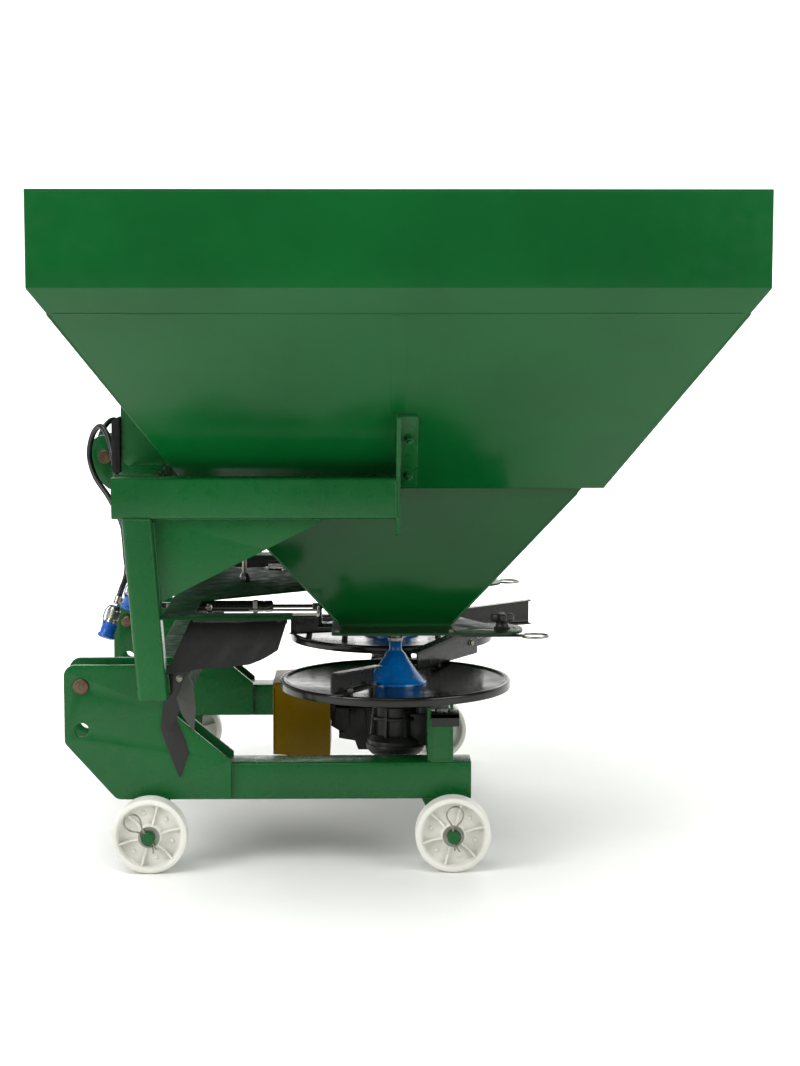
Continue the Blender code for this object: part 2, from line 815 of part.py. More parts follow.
def make_cylinder(name, side):
    start = Vector((CYLINDER_FRONT, side * SHUTTER_Y, ROD_Z))
    back = CYLINDER_LENGTH
    profile = [
        (0, back),
        (CYLINDER_RADIUS, back),
        (CYLINDER_RADIUS, 0.006),
        (CYLINDER_RADIUS - 0.004, 0),
        (0, 0),
    ]
    body = turned(f"cylinder_{name}", profile, start, (1, 0, 0), "black_paint", steps=24)
    chamber_end = start + Vector((back - CYLINDER_CAP, 0, 0))
    chamber = rod(
        f"cylinder_chamber_{name}",
        CYLINDER_BORE,
        start + Vector((CYLINDER_CAP, 0, 0)),
        chamber_end,
    )
    gland = rod(
        f"cylinder_gland_{name}",
        ROD_RADIUS + GAP,
        chamber_end - Vector((CYLINDER_CAP, 0, 0)),
        chamber_end + Vector((2 * CYLINDER_CAP, 0, 0)),
    )
    cut(body, chamber, gland)


def make_knob(name, side):
    """A lobed clamping knob with its threaded stud through the slot in the outlet plate."""
    count = 48
    outline = []
    for i in range(count):
        angle = math.tau * i / count
        reach = KNOB_RADIUS * (1 - KNOB_LOBE_DEPTH * (1 - math.cos(KNOB_LOBES * angle)))
        outline.append((reach * math.cos(angle), reach * math.sin(angle)))
    head = KNOB_HEAD
    base = OUTLET_TOP + GAP
    place = Matrix.Translation((KNOB_X, side * KNOB_Y, base + KNOB_HEIGHT - head / 2))
    knob = plate(f"knob_{name}", outline, head, place, "black_cast")
    foot = rod(
        f"knob_foot_{name}",
        KNOB_FOOT_RADIUS,
        (KNOB_X, side * KNOB_Y, base),
        (KNOB_X, side * KNOB_Y, base + KNOB_HEIGHT - head / 2),
        segments=24,
    )
    stud = rod(
        f"knob_stud_{name}",
        KNOB_STUD,
        (KNOB_X, side * KNOB_Y, OUTLET_BOTTOM - KNOB_STUD_DROP),
        (KNOB_X, side * KNOB_Y, base + KNOB_HEIGHT / 2),
        segments=12,
    )
    weld(knob, foot, stud)


# ---------------------------------------------------------------- spreading discs


def disc_surface(radius):
    """Height of the disc's upper face at a radius."""
    share = max(0.0, radius - DISC_FLAT_RADIUS) / (DISC_RADIUS - DISC_FLAT_RADIUS)
    return DISC_Z + share * DISC_RISE


def make_disc(name, side):
    edge = disc_surface(DISC_RADIUS)
    upper = [
        (DISC_BORE, DISC_Z),
        (DISC_FLAT_RADIUS, DISC_Z),
        (DISC_RADIUS - LIP_START, disc_surface(DISC_RADIUS - LIP_START)),
        (DISC_RADIUS - LIP_CREST, edge + LIP_RISE),
        (DISC_RADIUS - LIP_EDGE, edge + LIP_RISE),
        (DISC_RADIUS, edge + LIP_RISE - LIP_EDGE),
    ]
    skirt_bottom = edge + LIP_RISE - SKIRT
    inner = DISC_RADIUS - DISC_SHEET
    lower = [
        (DISC_RADIUS, skirt_bottom),
        (inner, skirt_bottom),
        (inner, edge + LIP_RISE - DISC_SHEET - LIP_UNDER),
        (DISC_RADIUS - LIP_CREST - LIP_UNDER, edge + LIP_RISE - DISC_SHEET - LIP_UNDER),
        (DISC_RADIUS - LIP_START, disc_surface(DISC_RADIUS - LIP_START) - DISC_SHEET),
        (DISC_FLAT_RADIUS, DISC_Z - DISC_SHEET),
        (DISC_BORE, DISC_Z - DISC_SHEET),
    ]
    centre = (0, side * DISC_Y, 0)
    turned(f"disc_{name}", upper + lower, centre, (0, 0, 1), "black_paint", closed=True, steps=36)


def make_cone(name, side):
    base = DISC_Z + GAP
    profile = [
        (DISC_BORE, CONE_TOP),
        (CONE_NECK, CONE_TOP),
        (CONE_NECK, CONE_SHOULDER),
        (CONE_RADIUS, base + CONE_FOOT),
        (CONE_RADIUS, base),
        (DISC_BORE, base),
    ]
    centre = (0, side * DISC_Y, 0)
    turned(f"cone_{name}", profile, centre, (0, 0, 1), "blue", closed=True, steps=28)


def make_disc_shaft(name, side):
    """The upright shaft, with its bevel gear blank below and the agitator pin above."""
    gear = DRIVE_Z + GAP
    profile = [
        (0, SHAFT_TOP),
        (SHAFT_RADIUS, SHAFT_TOP),
        (SHAFT_RADIUS, gear + GEAR_OUTER + GEAR_BACK),
        (GEAR_HUB, gear + GEAR_OUTER + GEAR_BACK),
        (GEAR_OUTER, gear + GEAR_OUTER),
        (GEAR_INNER, gear + GEAR_INNER),
        (0, gear + GEAR_INNER),
    ]
    centre = Vector((0, side * DISC_Y, 0))
    shaft = turned(f"disc_shaft_{name}", profile, centre, (0, 0, 1), "steel")
    reach = Vector((AGITATOR_REACH, 0, 0))
    middle = centre + Vector((0, 0, AGITATOR_Z))
    weld(shaft, rod(f"agitator_{name}", AGITATOR_RADIUS, middle - reach, middle + reach, segments=10))


def make_vane(name, side, tip, tip_height, angle, flange_way):
    """A folded channel, open towards the way it turns, standing on two bosses."""
    lip = disc_surface(DISC_RADIUS) + LIP_RISE
    foot = lip + VANE_LIFT
    shape = bmesh.new()
    rows = []
    for radius, height in ((VANE_INNER_RADIUS, VANE_INNER_HEIGHT), (tip, tip_height)):
        across = flange_way * VANE_FLANGE
        section = [(across, 0), (0, 0), (0, height), (across, height)]
        rows.append([shape.verts.new((radius, v, foot + w)) for v, w in section])
    for i in range(3):
        shape.faces.new((rows[0][i], rows[0][i + 1], rows[1][i + 1], rows[1][i]))
    bmesh.ops.recalc_face_normals(shape, faces=shape.faces)
    mesh = bpy.data.meshes.new(name)
    shape.to_mesh(mesh)
    shape.free()
    place = Matrix.Translation((0, side * DISC_Y, 0)) @ Matrix.Rotation(angle, 4, "Z")
    vane = make_object(name, mesh, "black_paint", place)
    fold = vane.modifiers.new("sheet", "SOLIDIFY")
    fold.thickness = VANE_SHEET
    fold.offset = 0
    across = flange_way * VANE_FLANGE / 2
    for label, radius in (("inner", VANE_INNER_RADIUS + VANE_BOSS_INSET), ("outer", VANE_BOSS_OUTER)):
        seat = disc_surface(radius + VANE_BOSS_RADIUS) + GAP
        boss = rod(
            f"{name}_{label}_boss",
            VANE_BOSS_RADIUS,
            place @ Vector((radius, across, seat)),
            place @ Vector((radius, across, foot)),
            segments=12,
        )
        weld(vane, boss)


def make_vanes():
    for name, side in SIDES.items():
        angle = LEFT_VANE_ANGLE if name == "left" else RIGHT_VANE_ANGLE
        way = -side
        make_vane(f"long_vane_{name}", side, LONG_VANE_RADIUS, LONG_VANE_HEIGHT, angle, way)
        opposite = angle + math.pi
        make_vane(f"short_vane_{name}", side, SHORT_VANE_RADIUS, SHORT_VANE_HEIGHT, opposite, way)


# ---------------------------------------------------------------- drive line


def make_cross_shaft():
    """One shaft between the two side gearboxes, with a bevel gear blank at each place of drive."""
    end = DISC_Y - GAP - GEAR_INNER
    gear_half = [
        (0, end),
        (GEAR_INNER, end),
        (GEAR_OUTER, end - GEAR_OUTER + GEAR_INNER),
        (GEAR_HUB, end - GEAR_OUTER + GEAR_INNER - GEAR_BACK),
        (CROSS_SHAFT_RADIUS, end - GEAR_OUTER + GEAR_INNER - GEAR_BACK),
    ]
    centre_gear = [
        (CROSS_SHAFT_RADIUS, GAP + GEAR_OUTER + GEAR_BACK),
        (GEAR_HUB, GAP + GEAR_OUTER + GEAR_BACK),
        (GEAR_OUTER, GAP + GEAR_OUTER),
        (GEAR_INNER, GAP + GEAR_INNER),
        (CROSS_SHAFT_RADIUS, GAP + GEAR_INNER),
    ]
    other_end = [(radius, -height) for radius, height in reversed(gear_half)]
    profile = gear_half + centre_gear + other_end
    turned("cross_shaft", profile, (0, 0, DRIVE_Z), (0, 1, 0), "steel")


def make_pto_shaft():
    """The input shaft: a bevel gear blank inside, a splined stub outside."""
    gear = GAP
    profile = [
        (0, PTO_SPLINE_START * -1 + 0.004),
        (PTO_BEARING_RADIUS, PTO_SPLINE_START * -1 + 0.004),
        (PTO_BEARING_RADIUS, gear + GEAR_OUTER + GEAR_BACK),
        (GEAR_HUB, gear + GEAR_OUTER + GEAR_BACK),
        (GEAR_OUTER, gear + GEAR_OUTER),
        (GEAR_INNER, gear + GEAR_INNER),
        (0, gear + GEAR_INNER),
    ]
    shaft = turned("pto_shaft", profile, (0, 0, DRIVE_Z), (-1, 0, 0), "steel")
    outline = []
    teeth = 4 * PTO_SPLINE_KEYS
    for i in range(teeth):
        angle = math.tau * (i - 0.5) / teeth
        radius = PTO_SPLINE_RADIUS if i % 4 < 2 else PTO_SPLINE_RADIUS - PTO_SPLINE_DEPTH
        outline.append((radius * math.cos(angle), radius * math.sin(angle)))
    middle = (PTO_SPLINE_START + PTO_END) / 2
    place = crosswise(middle)
    place.translation.z = DRIVE_Z
    spline = plate("pto_spline", outline, PTO_SPLINE_START - PTO_END, place, "steel")
    weld(shaft, spline)


def make_side_gearbox(name, side):
    centre = Vector((0, side * DISC_Y, 0))
    flange_top = SIDE_BOX_TOP - SIDE_CAP_HEIGHT - SIDE_STEP
    belly_top = SIDE_BOX_BOTTOM + SIDE_BELLY_TOP
    profile = [
        (0, SIDE_BOX_TOP),
        (SIDE_CAP_RADIUS, SIDE_BOX_TOP),
        (SIDE_CAP_RADIUS + SIDE_STEP, flange_top + SIDE_STEP),
        (SIDE_FLANGE_RADIUS, flange_top),
        (SIDE_FLANGE_RADIUS, flange_top - SIDE_FLANGE_SHEET),
        (SIDE_NECK_RADIUS, flange_top - SIDE_FLANGE_SHEET - SIDE_STEP),
        (SIDE_NECK_RADIUS, belly_top),
        (SIDE_BOX_RADIUS, belly_top - SIDE_BELLY_SLOPE),
        (SIDE_BOX_RADIUS, SIDE_BOX_BOTTOM + 2 * SIDE_STEP),
        (SIDE_BOX_RADIUS - 2 * SIDE_STEP, SIDE_BOX_BOTTOM),
        (0, SIDE_BOX_BOTTOM),
    ]
    casing = turned(f"gearbox_{name}", profile, centre, (0, 0, 1), "black_cast", steps=24)
    drive = centre + Vector((0, 0, DRIVE_Z))
    inward = Vector((0, -side, 0))
    snout = rod(f"snout_{name}", SNOUT_RADIUS, drive + inward * SIDE_CAP_RADIUS, drive + inward * SNOUT_LENGTH)
    pad = side_box(
        f"pad_{name}",
        (PAD_START, BEAM_PLATE_X - GAP),
        (DISC_Y - PAD_HALF_WIDTH, DISC_Y + PAD_HALF_WIDTH),
        (RAIL_TOP + PAD_RISE, SIDE_BOX_TOP - PAD_DROP),
        side,
    )
    weld(casing, snout, pad)
    cavity = rod(
        f"cavity_{name}",
        CAVITY_RADIUS,
        drive - Vector((0, 0, CAVITY_DOWN)),
        drive + Vector((0, 0, CAVITY_UP)),
    )
    shaft_way = rod(
        f"shaft_way_{name}",
        SHAFT_RADIUS + 3 * GAP,
        drive,
        centre + Vector((0, 0, SIDE_BOX_TOP + BORE_CUT)),
    )
    cross_way = rod(
        f"cross_way_{name}",
        CROSS_SHAFT_RADIUS + 2 * GAP,
        drive,
        drive + inward * (SNOUT_LENGTH + BORE_CUT),
    )
    cut(casing, cavity, shaft_way, cross_way)


def make_centre_gearbox():
    drive = Vector((0, 0, DRIVE_Z))
    across = Vector((0, CENTRE_BOX_HALF, 0))
    casing = rod("gearbox_centre", CENTRE_BOX_RADIUS, drive - across, drive + across, "black_cast", 24)
    face = Vector((INPUT_FACE, 0, DRIVE_Z))
    snout = rod("input_snout", INPUT_SNOUT_RADIUS, drive, face)
    flange = rod("input_flange", INPUT_FLANGE_RADIUS, face, face + Vector((INPUT_FLANGE_SHEET, 0, 0)))
    pad = box(
        "centre_pad",
        (PAD_START, -PAD_HALF_WIDTH, RAIL_TOP + PAD_RISE),
        (BEAM_PLATE_X - GAP, PAD_HALF_WIDTH, SIDE_BOX_TOP - PAD_DROP),
    )
    sump = plate("sump", SUMP_OUTLINE, 2 * SUMP_HALF, upright(0))
    weld(casing, snout, flange, pad, sump)
    cavity_half = Vector((0, CAVITY_RADIUS - CAVITY_SIDE_INSET, 0))
    cavity = rod("centre_cavity", CAVITY_RADIUS, drive - cavity_half, drive + cavity_half)
    cross_way = rod("centre_cross_way", CROSS_SHAFT_RADIUS + 2 * GAP, drive - 2 * across, drive + 2 * across)
    input_way = rod(
        "input_way", PTO_BEARING_RADIUS + 2 * GAP, drive, face - Vector((BORE_CUT, 0, 0))
    )
    cut(casing, cavity, cross_way, input_way)


def make_shield():
    """A folded sheet over the input shaft, open to the front and below, on the gearbox's flange."""
    back = INPUT_FACE - GAP
    outer = box(
        "pto_shield",
        (SHIELD_FRONT, -SHIELD_HALF_WIDTH, SHIELD_BOTTOM),
        (back, SHIELD_HALF_WIDTH, SHIELD_TOP),
        "yellow",
    )
    inside = box(
        "shield_inside",
        (SHIELD_FRONT - SHIELD_CUT, SHIELD_SHEET - SHIELD_HALF_WIDTH, SHIELD_BOTTOM - SHIELD_CUT),
        (back - SHIELD_SHEET, SHIELD_HALF_WIDTH - SHIELD_SHEET, SHIELD_TOP - SHIELD_SHEET),
    )
    hole = rod(
        "shield_hole",
        PTO_SPLINE_RADIUS + SHIELD_SHEET,
        (back - SHIELD_CUT, 0, DRIVE_Z),
        (back + SHIELD_CUT, 0, DRIVE_Z),
    )
    cut(outer, inside, hole)


# ---------------------------------------------------------------- lower frame and hitch


def make_rail(name, side):
    low_y, high_y = sorted((side * RAIL_INNER_Y, side * RAIL_OUTER_Y))
    rail = square_tube(
        f"rail_{name}", (RAIL_FRONT, low_y, RAIL_BOTTOM), (RAIL_REAR, high_y, RAIL_TOP), 0, True
    )
    middle_y = side * (RAIL_OUTER_Y - BRACKET_INSET - AXLE_PLATE / 2)
    for place, x in WHEEL_X.items():
        rear = AXLE_PLATE_REAR
        front = AXLE_PLATE_FRONT if place == "rear" else AXLE_PLATE_REAR
        radius = AXLE_RADIUS + 0.009
        corners = [
            (x - front, RAIL_BOTTOM + TUBE_WALL / 2),
            (x - radius, WHEEL_RADIUS - radius),
            (x + radius, WHEEL_RADIUS - radius),
            (x + rear, RAIL_BOTTOM + TUBE_WALL / 2),
        ]
        outline = rounded(corners, (0, 0.012, 0.012, 0))
        bracket = plate(
            f"axle_plate_{place}_{name}",
            outline,
            AXLE_PLATE,
            upright(middle_y),
            holes=[circle(AXLE_RADIUS + GAP, (x, WHEEL_RADIUS), ROUND)],
        )
        weld(rail, bracket)


def make_rear_beam():
    back = BEAM_PLATE_X + BEAM_PLATE_SHEET
    z = RAIL_TOP + GAP
    beam = square_tube(
        "rear_cross_beam",
        (back - 0.002, -RAIL_OUTER_Y, z),
        (back + BEAM_DEPTH, RAIL_OUTER_Y, BEAM_TOP),
        1,
        True,
    )
    mounting = box(
        "beam_plate", (BEAM_PLATE_X, 0.004 - RAIL_OUTER_Y, z), (back, RAIL_OUTER_Y - 0.004, BEAM_PLATE_TOP)
    )
    weld(beam, mounting)


def make_front_tube():
    half = HITCH_INSIDE_Y - GAP
    square_tube(
        "front_cross_tube",
        (FRONT_TUBE_X, -half, FRONT_TUBE_Z),
        (FRONT_TUBE_X + FRONT_TUBE_SIDE, half, FRONT_TUBE_Z + FRONT_TUBE_SIDE),
        1,
        True,
    )


def make_hitch_plates(name, side):
    post_rear = post_x(HITCH_TOP) + POST_DEPTH / 2
    corners = [
        (HITCH_FRONT, HITCH_TOP),
        (HITCH_FRONT, RAIL_TOP + HITCH_NOSE_RISE),
        (HITCH_FRONT + HITCH_HEEL, RAIL_BOTTOM + HITCH_EDGE),
        (HITCH_REAR, RAIL_BOTTOM + HITCH_EDGE),
        (HITCH_REAR, RAIL_TOP + HITCH_TAIL_RISE),
        (post_rear + HITCH_NECK, HITCH_NECK_Z),
        (post_rear + HITCH_NECK, HITCH_TOP),
    ]
    outline = rounded(corners, HITCH_CORNERS)
    holes = [circle(PIN_RADIUS + GAP, (PIN_X, z), ROUND) for z in (PIN_Z, LOWER_HOLE_Z)]
    for place, y in (("outer", OUTER_HITCH_Y), ("inner", INNER_HITCH_Y)):
        plate(f"hitch_plate_{place}_{name}", outline, HITCH_SHEET, upright(side * y), holes=holes)


def make_lower_pin(name, side):
    """The lower link pin, through both hitch plates of a side."""
    outer_face = OUTER_HITCH_Y + HITCH_SHEET / 2
    length = outer_face - HITCH_INSIDE_Y
    start = Vector((PIN_X, side * HITCH_INSIDE_Y, PIN_Z))
    head = length + GAP
    profile = [
        (0, head + PIN_HEAD),
        (PIN_HEAD_RADIUS - 0.0015, head + PIN_HEAD),
        (PIN_HEAD_RADIUS, head + PIN_HEAD - 0.0015),
        (PIN_HEAD_RADIUS, head),
        (PIN_RADIUS, head),
        (PIN_RADIUS, -0.020),
        (PIN_RADIUS - 0.003, -0.024),
        (0, -0.024),
    ]
    turned(f"lower_link_pin_{name}", profile, start, (0, side, 0), "worn_steel")


# ---------------------------------------------------------------- upper frame


def make_post(name, side):
    half = POST_DEPTH / 2
    outline = [
        (post_x(POST_BOTTOM) - half, POST_BOTTOM),
        (post_x(POST_BOTTOM) + half, POST_BOTTOM),
        (post_x(POST_TOP) + half, POST_TOP),
        (post_x(POST_TOP) - half, POST_TOP),
    ]
    middle_y = side * (POST_INNER_Y + POST_WIDTH / 2)
    post = plate(f"post_{name}", outline, POST_WIDTH, upright(middle_y))
    inner = half - TUBE_WALL
    hollow_outline = [
        (post_x(POST_BOTTOM) - inner, POST_BOTTOM + TUBE_WALL),
        (post_x(POST_BOTTOM) + inner, POST_BOTTOM + TUBE_WALL),
        (post_x(POST_TOP) + inner, POST_TOP + TUBE_WALL),
        (post_x(POST_TOP) - inner, POST_TOP + TUBE_WALL),
    ]
    hollow = plate(f"post_hollow_{name}", hollow_outline, POST_WIDTH - 2 * TUBE_WALL, upright(middle_y))
    cut(post, hollow)
    into_post = half - TUBE_WALL / 2
    gusset_outline = [
        (post_x(GUSSET_LOW) + into_post, GUSSET_LOW),
        (post_x(GUSSET_LOW) + half + GUSSET_HEEL, GUSSET_LOW + GUSSET_HEEL_RISE),
        (post_x(GUSSET_KNEE_Z) + half + GUSSET_KNEE, GUSSET_KNEE_Z),
        (post_x(POST_TOP) + half + GUSSET_REACH, POST_TOP),
        (post_x(POST_TOP) + into_post, POST_TOP),
    ]
    weld(post, plate(f"gusset_{name}", gusset_outline, GUSSET_SHEET, upright(middle_y)))


def make_upper_bar(name, side):
    low_y, high_y = sorted((side * POST_INNER_Y, side * POST_OUTER_Y))
    bar = square_tube(
        f"upper_bar_{name}", (BAR_FRONT, low_y, BAR_BOTTOM), (0, high_y, BAR_TOP), 0, False, True
    )
    drain_x = BAR_FRONT + POST_DEPTH / 3
    middle_y = (low_y + high_y) / 2
    drain = rod(
        f"drain_{name}",
        DRAIN_RADIUS,
        (drain_x, middle_y, BAR_BOTTOM - TUBE_WALL),
        (drain_x, middle_y, BAR_BOTTOM + 2 * TUBE_WALL),
        segments=12,
    )
    flange_gap = (FLANGE_SHEET + GAP) * 1.3
    outline = [
        (POST_INNER_Y + 0.001, BAR_BOTTOM),
        (POST_INNER_Y + POST_WIDTH / 2, BRACKET_BOTTOM),
        (POST_OUTER_Y - 0.001, BAR_BOTTOM + 0.001),
        (POST_OUTER_Y - 0.001, BAR_TOP + 0.006),
        (wall_y(BRACKET_TOP) + 0.030, BRACKET_TOP - 0.001),
        (wall_y(BRACKET_TOP) + flange_gap, BRACKET_TOP - 0.001),
        (wall_y(BAR_TOP) + flange_gap, BAR_TOP),
        (POST_INNER_Y + 0.001, BAR_TOP - 0.006),
    ]
    bracket = plate(
        f"bracket_{name}", mirrored(outline, side), BRACKET_SHEET, crosswise(BRACKET_SHEET / 2 - 0.002)
    )
    weld(bar, bracket, bracket_flange(name, side))
    cut(bar, drain)


def bracket_flange(name, side):
    """The bracket's face against the sloping end wall of the hopper."""
    low = Vector((0, side * wall_y(FLANGE_BOTTOM), FLANGE_BOTTOM))
    high = Vector((0, side * wall_y(BRACKET_TOP), BRACKET_TOP))
    slope = (high - low).normalized()
    outward = Vector((1, 0, 0)).cross(slope)
    if outward.y * side < 0:
        outward = -outward
    across = slope.cross(outward)
    middle = (low + high) / 2 + outward * (GAP + FLANGE_SHEET / 2)
    place = Matrix((across, slope, outward)).transposed().to_4x4()
    place.translation = middle
    left, right = sorted((across.x * -0.001, across.x * FLANGE_WIDTH))
    half = (high - low).length / 2
    corners = rectangle(left, right, -half, half)
    return plate(f"flange_{name}", rounded(corners, (0.006,) * 4), FLANGE_SHEET, place)


def make_cross_bar():
    half = POST_INNER_Y - GAP
    bar = square_tube(
        "upper_cross_bar",
        (BAR_FRONT, -half, BAR_BOTTOM),
        (BAR_FRONT + CROSS_BAR_DEPTH, half, BAR_TOP),
        1,
        True,
    )
    inside = BAR_FRONT + TUBE_WALL / 2
    lug_corners = [
        (LUG_FRONT, TOP_PIN_Z + LUG_RADIUS + LUG_RISE),
        (LUG_FRONT, TOP_PIN_Z - LUG_RADIUS),
        (LUG_FRONT + LUG_SLOPE, BAR_BOTTOM + LUG_FOOT),
        (inside, BAR_BOTTOM + LUG_FOOT),
        (inside, BAR_TOP - LUG_SINK),
        (BAR_FRONT - LUG_BACK, TOP_PIN_Z + LUG_RADIUS + LUG_RISE),
    ]
    lug_outline = rounded(lug_corners, LUG_CORNERS)
    lug_hole = circle(TOP_PIN_RADIUS + GAP, (TOP_PIN_X, TOP_PIN_Z), ROUND)
    support_foot = BAR_TOP - TUBE_WALL / 2
    support_step = BAR_TOP + SUPPORT_STEP
    support_corners = [
        (SUPPORT_FRONT, SUPPORT_TOP),
        (SUPPORT_FRONT, support_foot),
        (BAR_FRONT + CROSS_BAR_DEPTH - TUBE_WALL, support_foot),
        (-wall_x(support_step) - SUPPORT_CLEAR, support_step),
        (-wall_x(SUPPORT_TOP) - SUPPORT_CLEAR, SUPPORT_TOP),
    ]
    support_outline = rounded(support_corners, (0, SUPPORT_CORNER, 0, 0, 0))
    for name, side in SIDES.items():
        lug = plate(
            f"top_lug_{name}", lug_outline, LUG_SHEET, upright(side * LUG_Y), holes=[lug_hole]
        )
        support = plate(
            f"hopper_support_{name}", support_outline, SUPPORT_SHEET, upright(side * SUPPORT_Y)
        )
        weld(bar, lug, support)


def make_top_pin():
    half = LUG_Y + LUG_SHEET / 2
    profile = [
        (0, half + GAP + PIN_HEAD),
        (TOP_PIN_HEAD_RADIUS - 0.0015, half + GAP + PIN_HEAD),
        (TOP_PIN_HEAD_RADIUS, half + GAP + PIN_HEAD - 0.0015),
        (TOP_PIN_HEAD_RADIUS, half + GAP),
        (TOP_PIN_RADIUS, half + GAP),
        (TOP_PIN_RADIUS, -half - 0.020),
        (TOP_PIN_RADIUS - 0.003, -half - 0.024),
        (0, -half - 0.024),
    ]
    turned("top_link_pin", profile, (TOP_PIN_X, 0, TOP_PIN_Z), (0, -1, 0), "worn_steel")


# ---------------------------------------------------------------- guard plate, flaps and hoses


def make_guard():
    """The level plate behind the posts: two edges that carry the curtains, and a tapered tongue
    between the cylinders, which hangs from the hopper's floor by a rod."""
    front = post_x(GUARD_BOTTOM) + POST_DEPTH / 2 + 2 * GAP
    half = [
        (front, GUARD_SIDE_OUTER),
        (GUARD_SIDE_REAR, GUARD_SIDE_OUTER),
        (GUARD_SIDE_REAR, GUARD_SIDE_INNER),
        (GUARD_FRONT_STRIP, GUARD_SIDE_INNER),
        (GUARD_FRONT_STRIP, GUARD_TONGUE_WIDE),
        (GUARD_REAR, GUARD_TONGUE_NARROW),
    ]
    outline = half + [(x, -y) for x, y in reversed(half)]
    guard = plate("guard_plate", outline, GUARD_SHEET, level(GUARD_BOTTOM + GUARD_SHEET / 2))
    foot = Vector((HANGER_X, 0, GUARD_BOTTOM + GUARD_SHEET / 2))
    top = Vector((HANGER_X, 0, FLOOR_Z - GAP))
    hanger = rod("guard_hanger", HANGER_RADIUS, foot, top)
    base = rod("guard_hanger_foot", HANGER_FOOT_RADIUS, foot, foot + Vector((0, 0, HANGER_FOOT)))
    weld(guard, hanger, base)


def make_flap(name, side):
    """A rubber curtain under the guard plate's edge, spreading outwards as it drops."""
    columns, rows = 8, 6
    shape = bmesh.new()
    bmesh.ops.create_grid(shape, x_segments=columns, y_segments=rows, size=0.5)
    top = GUARD_BOTTOM - GAP
    for vert in shape.verts:
        along, down = vert.co.x + 0.5, 0.5 - vert.co.y
        front = FLAP_TOP_FRONT + (FLAP_LOW_FRONT - FLAP_TOP_FRONT) * down
        rear = FLAP_TOP_REAR + (FLAP_LOW_REAR - FLAP_TOP_REAR) * down ** 2
        drop = FLAP_DROP * down * (1 - FLAP_TAPER * along ** 3)
        bulge = FLAP_SPREAD * math.sin(down * math.pi / 2)
        y = POST_INNER_Y + FLAP_START + bulge
        vert.co = Vector((front + (rear - front) * along, side * y, top - FLAP_SHEET - drop))
    bmesh.ops.recalc_face_normals(shape, faces=shape.faces)
    mesh = bpy.data.meshes.new(f"flap_{name}")
    shape.to_mesh(mesh)
    shape.free()
    smooth(mesh)
    flap = make_object(f"flap_{name}", mesh, "rubber")
    sheet = flap.modifiers.new("sheet", "SOLIDIFY")
    sheet.thickness = FLAP_SHEET
    sheet.offset = 0
    hem = side_box(
        f"flap_hem_{name}",
        (FLAP_TOP_FRONT, FLAP_TOP_REAR),
        (POST_INNER_Y - HEM_INNER, POST_INNER_Y + HEM_OUTER),
        (top - HEM_DEPTH, top),
        side,
    )
    weld(flap, hem)


def make_side_flap(name, side):
    """A narrow rubber strip that hangs outside the hitch plate, behind the post."""
    y = OUTER_HITCH_Y + HITCH_SHEET / 2 + GAP + FLAP_SHEET / 2
    plate(f"side_flap_{name}", SIDE_FLAP_OUTLINE, FLAP_SHEET, upright(side * y), "rubber")


def catmull_rom(points, spacing):
    """Points at an even spacing along a smooth curve through the given ones."""
    nodes = [Vector(point) for point in points]
    nodes = [2 * nodes[0] - nodes[1], *nodes, 2 * nodes[-1] - nodes[-2]]
    fine = []
    for a, b, c, d in zip(nodes, nodes[1:], nodes[2:], nodes[3:]):
        for step in range(24):
            t = step / 24
            fine.append(
                0.5 * (2 * b + (c - a) * t + (2 * a - 5 * b + 4 * c - d) * t ** 2
                       + (3 * b - a - 3 * c + d) * t ** 3)
            )
    fine.append(nodes[-2])
    lengths = [0.0]
    for a, b in zip(fine, fine[1:]):
        lengths.append(lengths[-1] + (b - a).length)
    count = max(2, round(lengths[-1] / spacing))
    route = []
    i = 0
    for k in range(count + 1):
        target = lengths[-1] * k / count
        while i < len(fine) - 2 and lengths[i + 1] < target:
            i += 1
        share = (target - lengths[i]) / max(lengths[i + 1] - lengths[i], 1e-9)
        route.append(fine[i].lerp(fine[i + 1], min(share, 1.0)))
    return route


# Left hose, from the port of its cylinder to its coupler; the right hose mirrors it.
HOSE_ROUTE = [
    (-0.4405, 0.270, 0.494),
    (-0.4650, 0.270, 0.494),
    (-0.5000, 0.268, 0.500),
    (-0.5350, 0.262, 0.525),
    (-0.5560, 0.250, 0.570),
    (-0.5640, 0.232, 0.630),
    (-0.5720, 0.206, 0.690),
    (-0.5830, 0.186, 0.745),
    (-0.5910, 0.172, 0.792),
    (-0.6030, 0.152, 0.836),
    (-0.6230, 0.124, 0.859),
    (-0.6430, 0.096, 0.840),
    (-0.6530, 0.082, 0.796),
    (-0.6400, 0.092, 0.750),
    (-0.6080, 0.112, 0.705),
    (-0.5800, 0.138, 0.655),
    (-0.5670, 0.162, 0.600),
    (-0.5665, 0.182, 0.550),
    (-0.5755, 0.196, 0.520),
    (-0.5845, 0.204, 0.492),
]


def make_hose(name, side):
    route = [(x, side * y, z) for x, y, z in HOSE_ROUTE]
    points = catmull_rom(route, HOSE_STEP)
    tube(f"hose_{name}", points, HOSE_RADIUS, "rubber", 2)
    end = points[-1]
    way = (points[-1] - points[-2]).normalized()
    make_coupler(name, end + way * GAP, way)


def make_coupler(name, start, way):
    """The quick coupler on the hose's end, with its dust cap pushed on below it."""
    cap_start = COUPLER_LENGTH
    cap_end = COUPLER_LENGTH + CAP_LENGTH
    profile = [
        (0, 0),
        (0.008, 0),
        (0.008, -0.010),
        (0.011, -0.012),
        (COUPLER_RADIUS, -0.020),
        (COUPLER_RADIUS, -cap_start),
        (CAP_RADIUS, -cap_start - 0.001),
        (CAP_RADIUS, 0.006 - cap_end),
        (CAP_RADIUS + 0.003, -cap_end),
        (0, -cap_end),
    ]
    turned(f"coupler_{name}", profile, start, -way, "steel", steps=20)


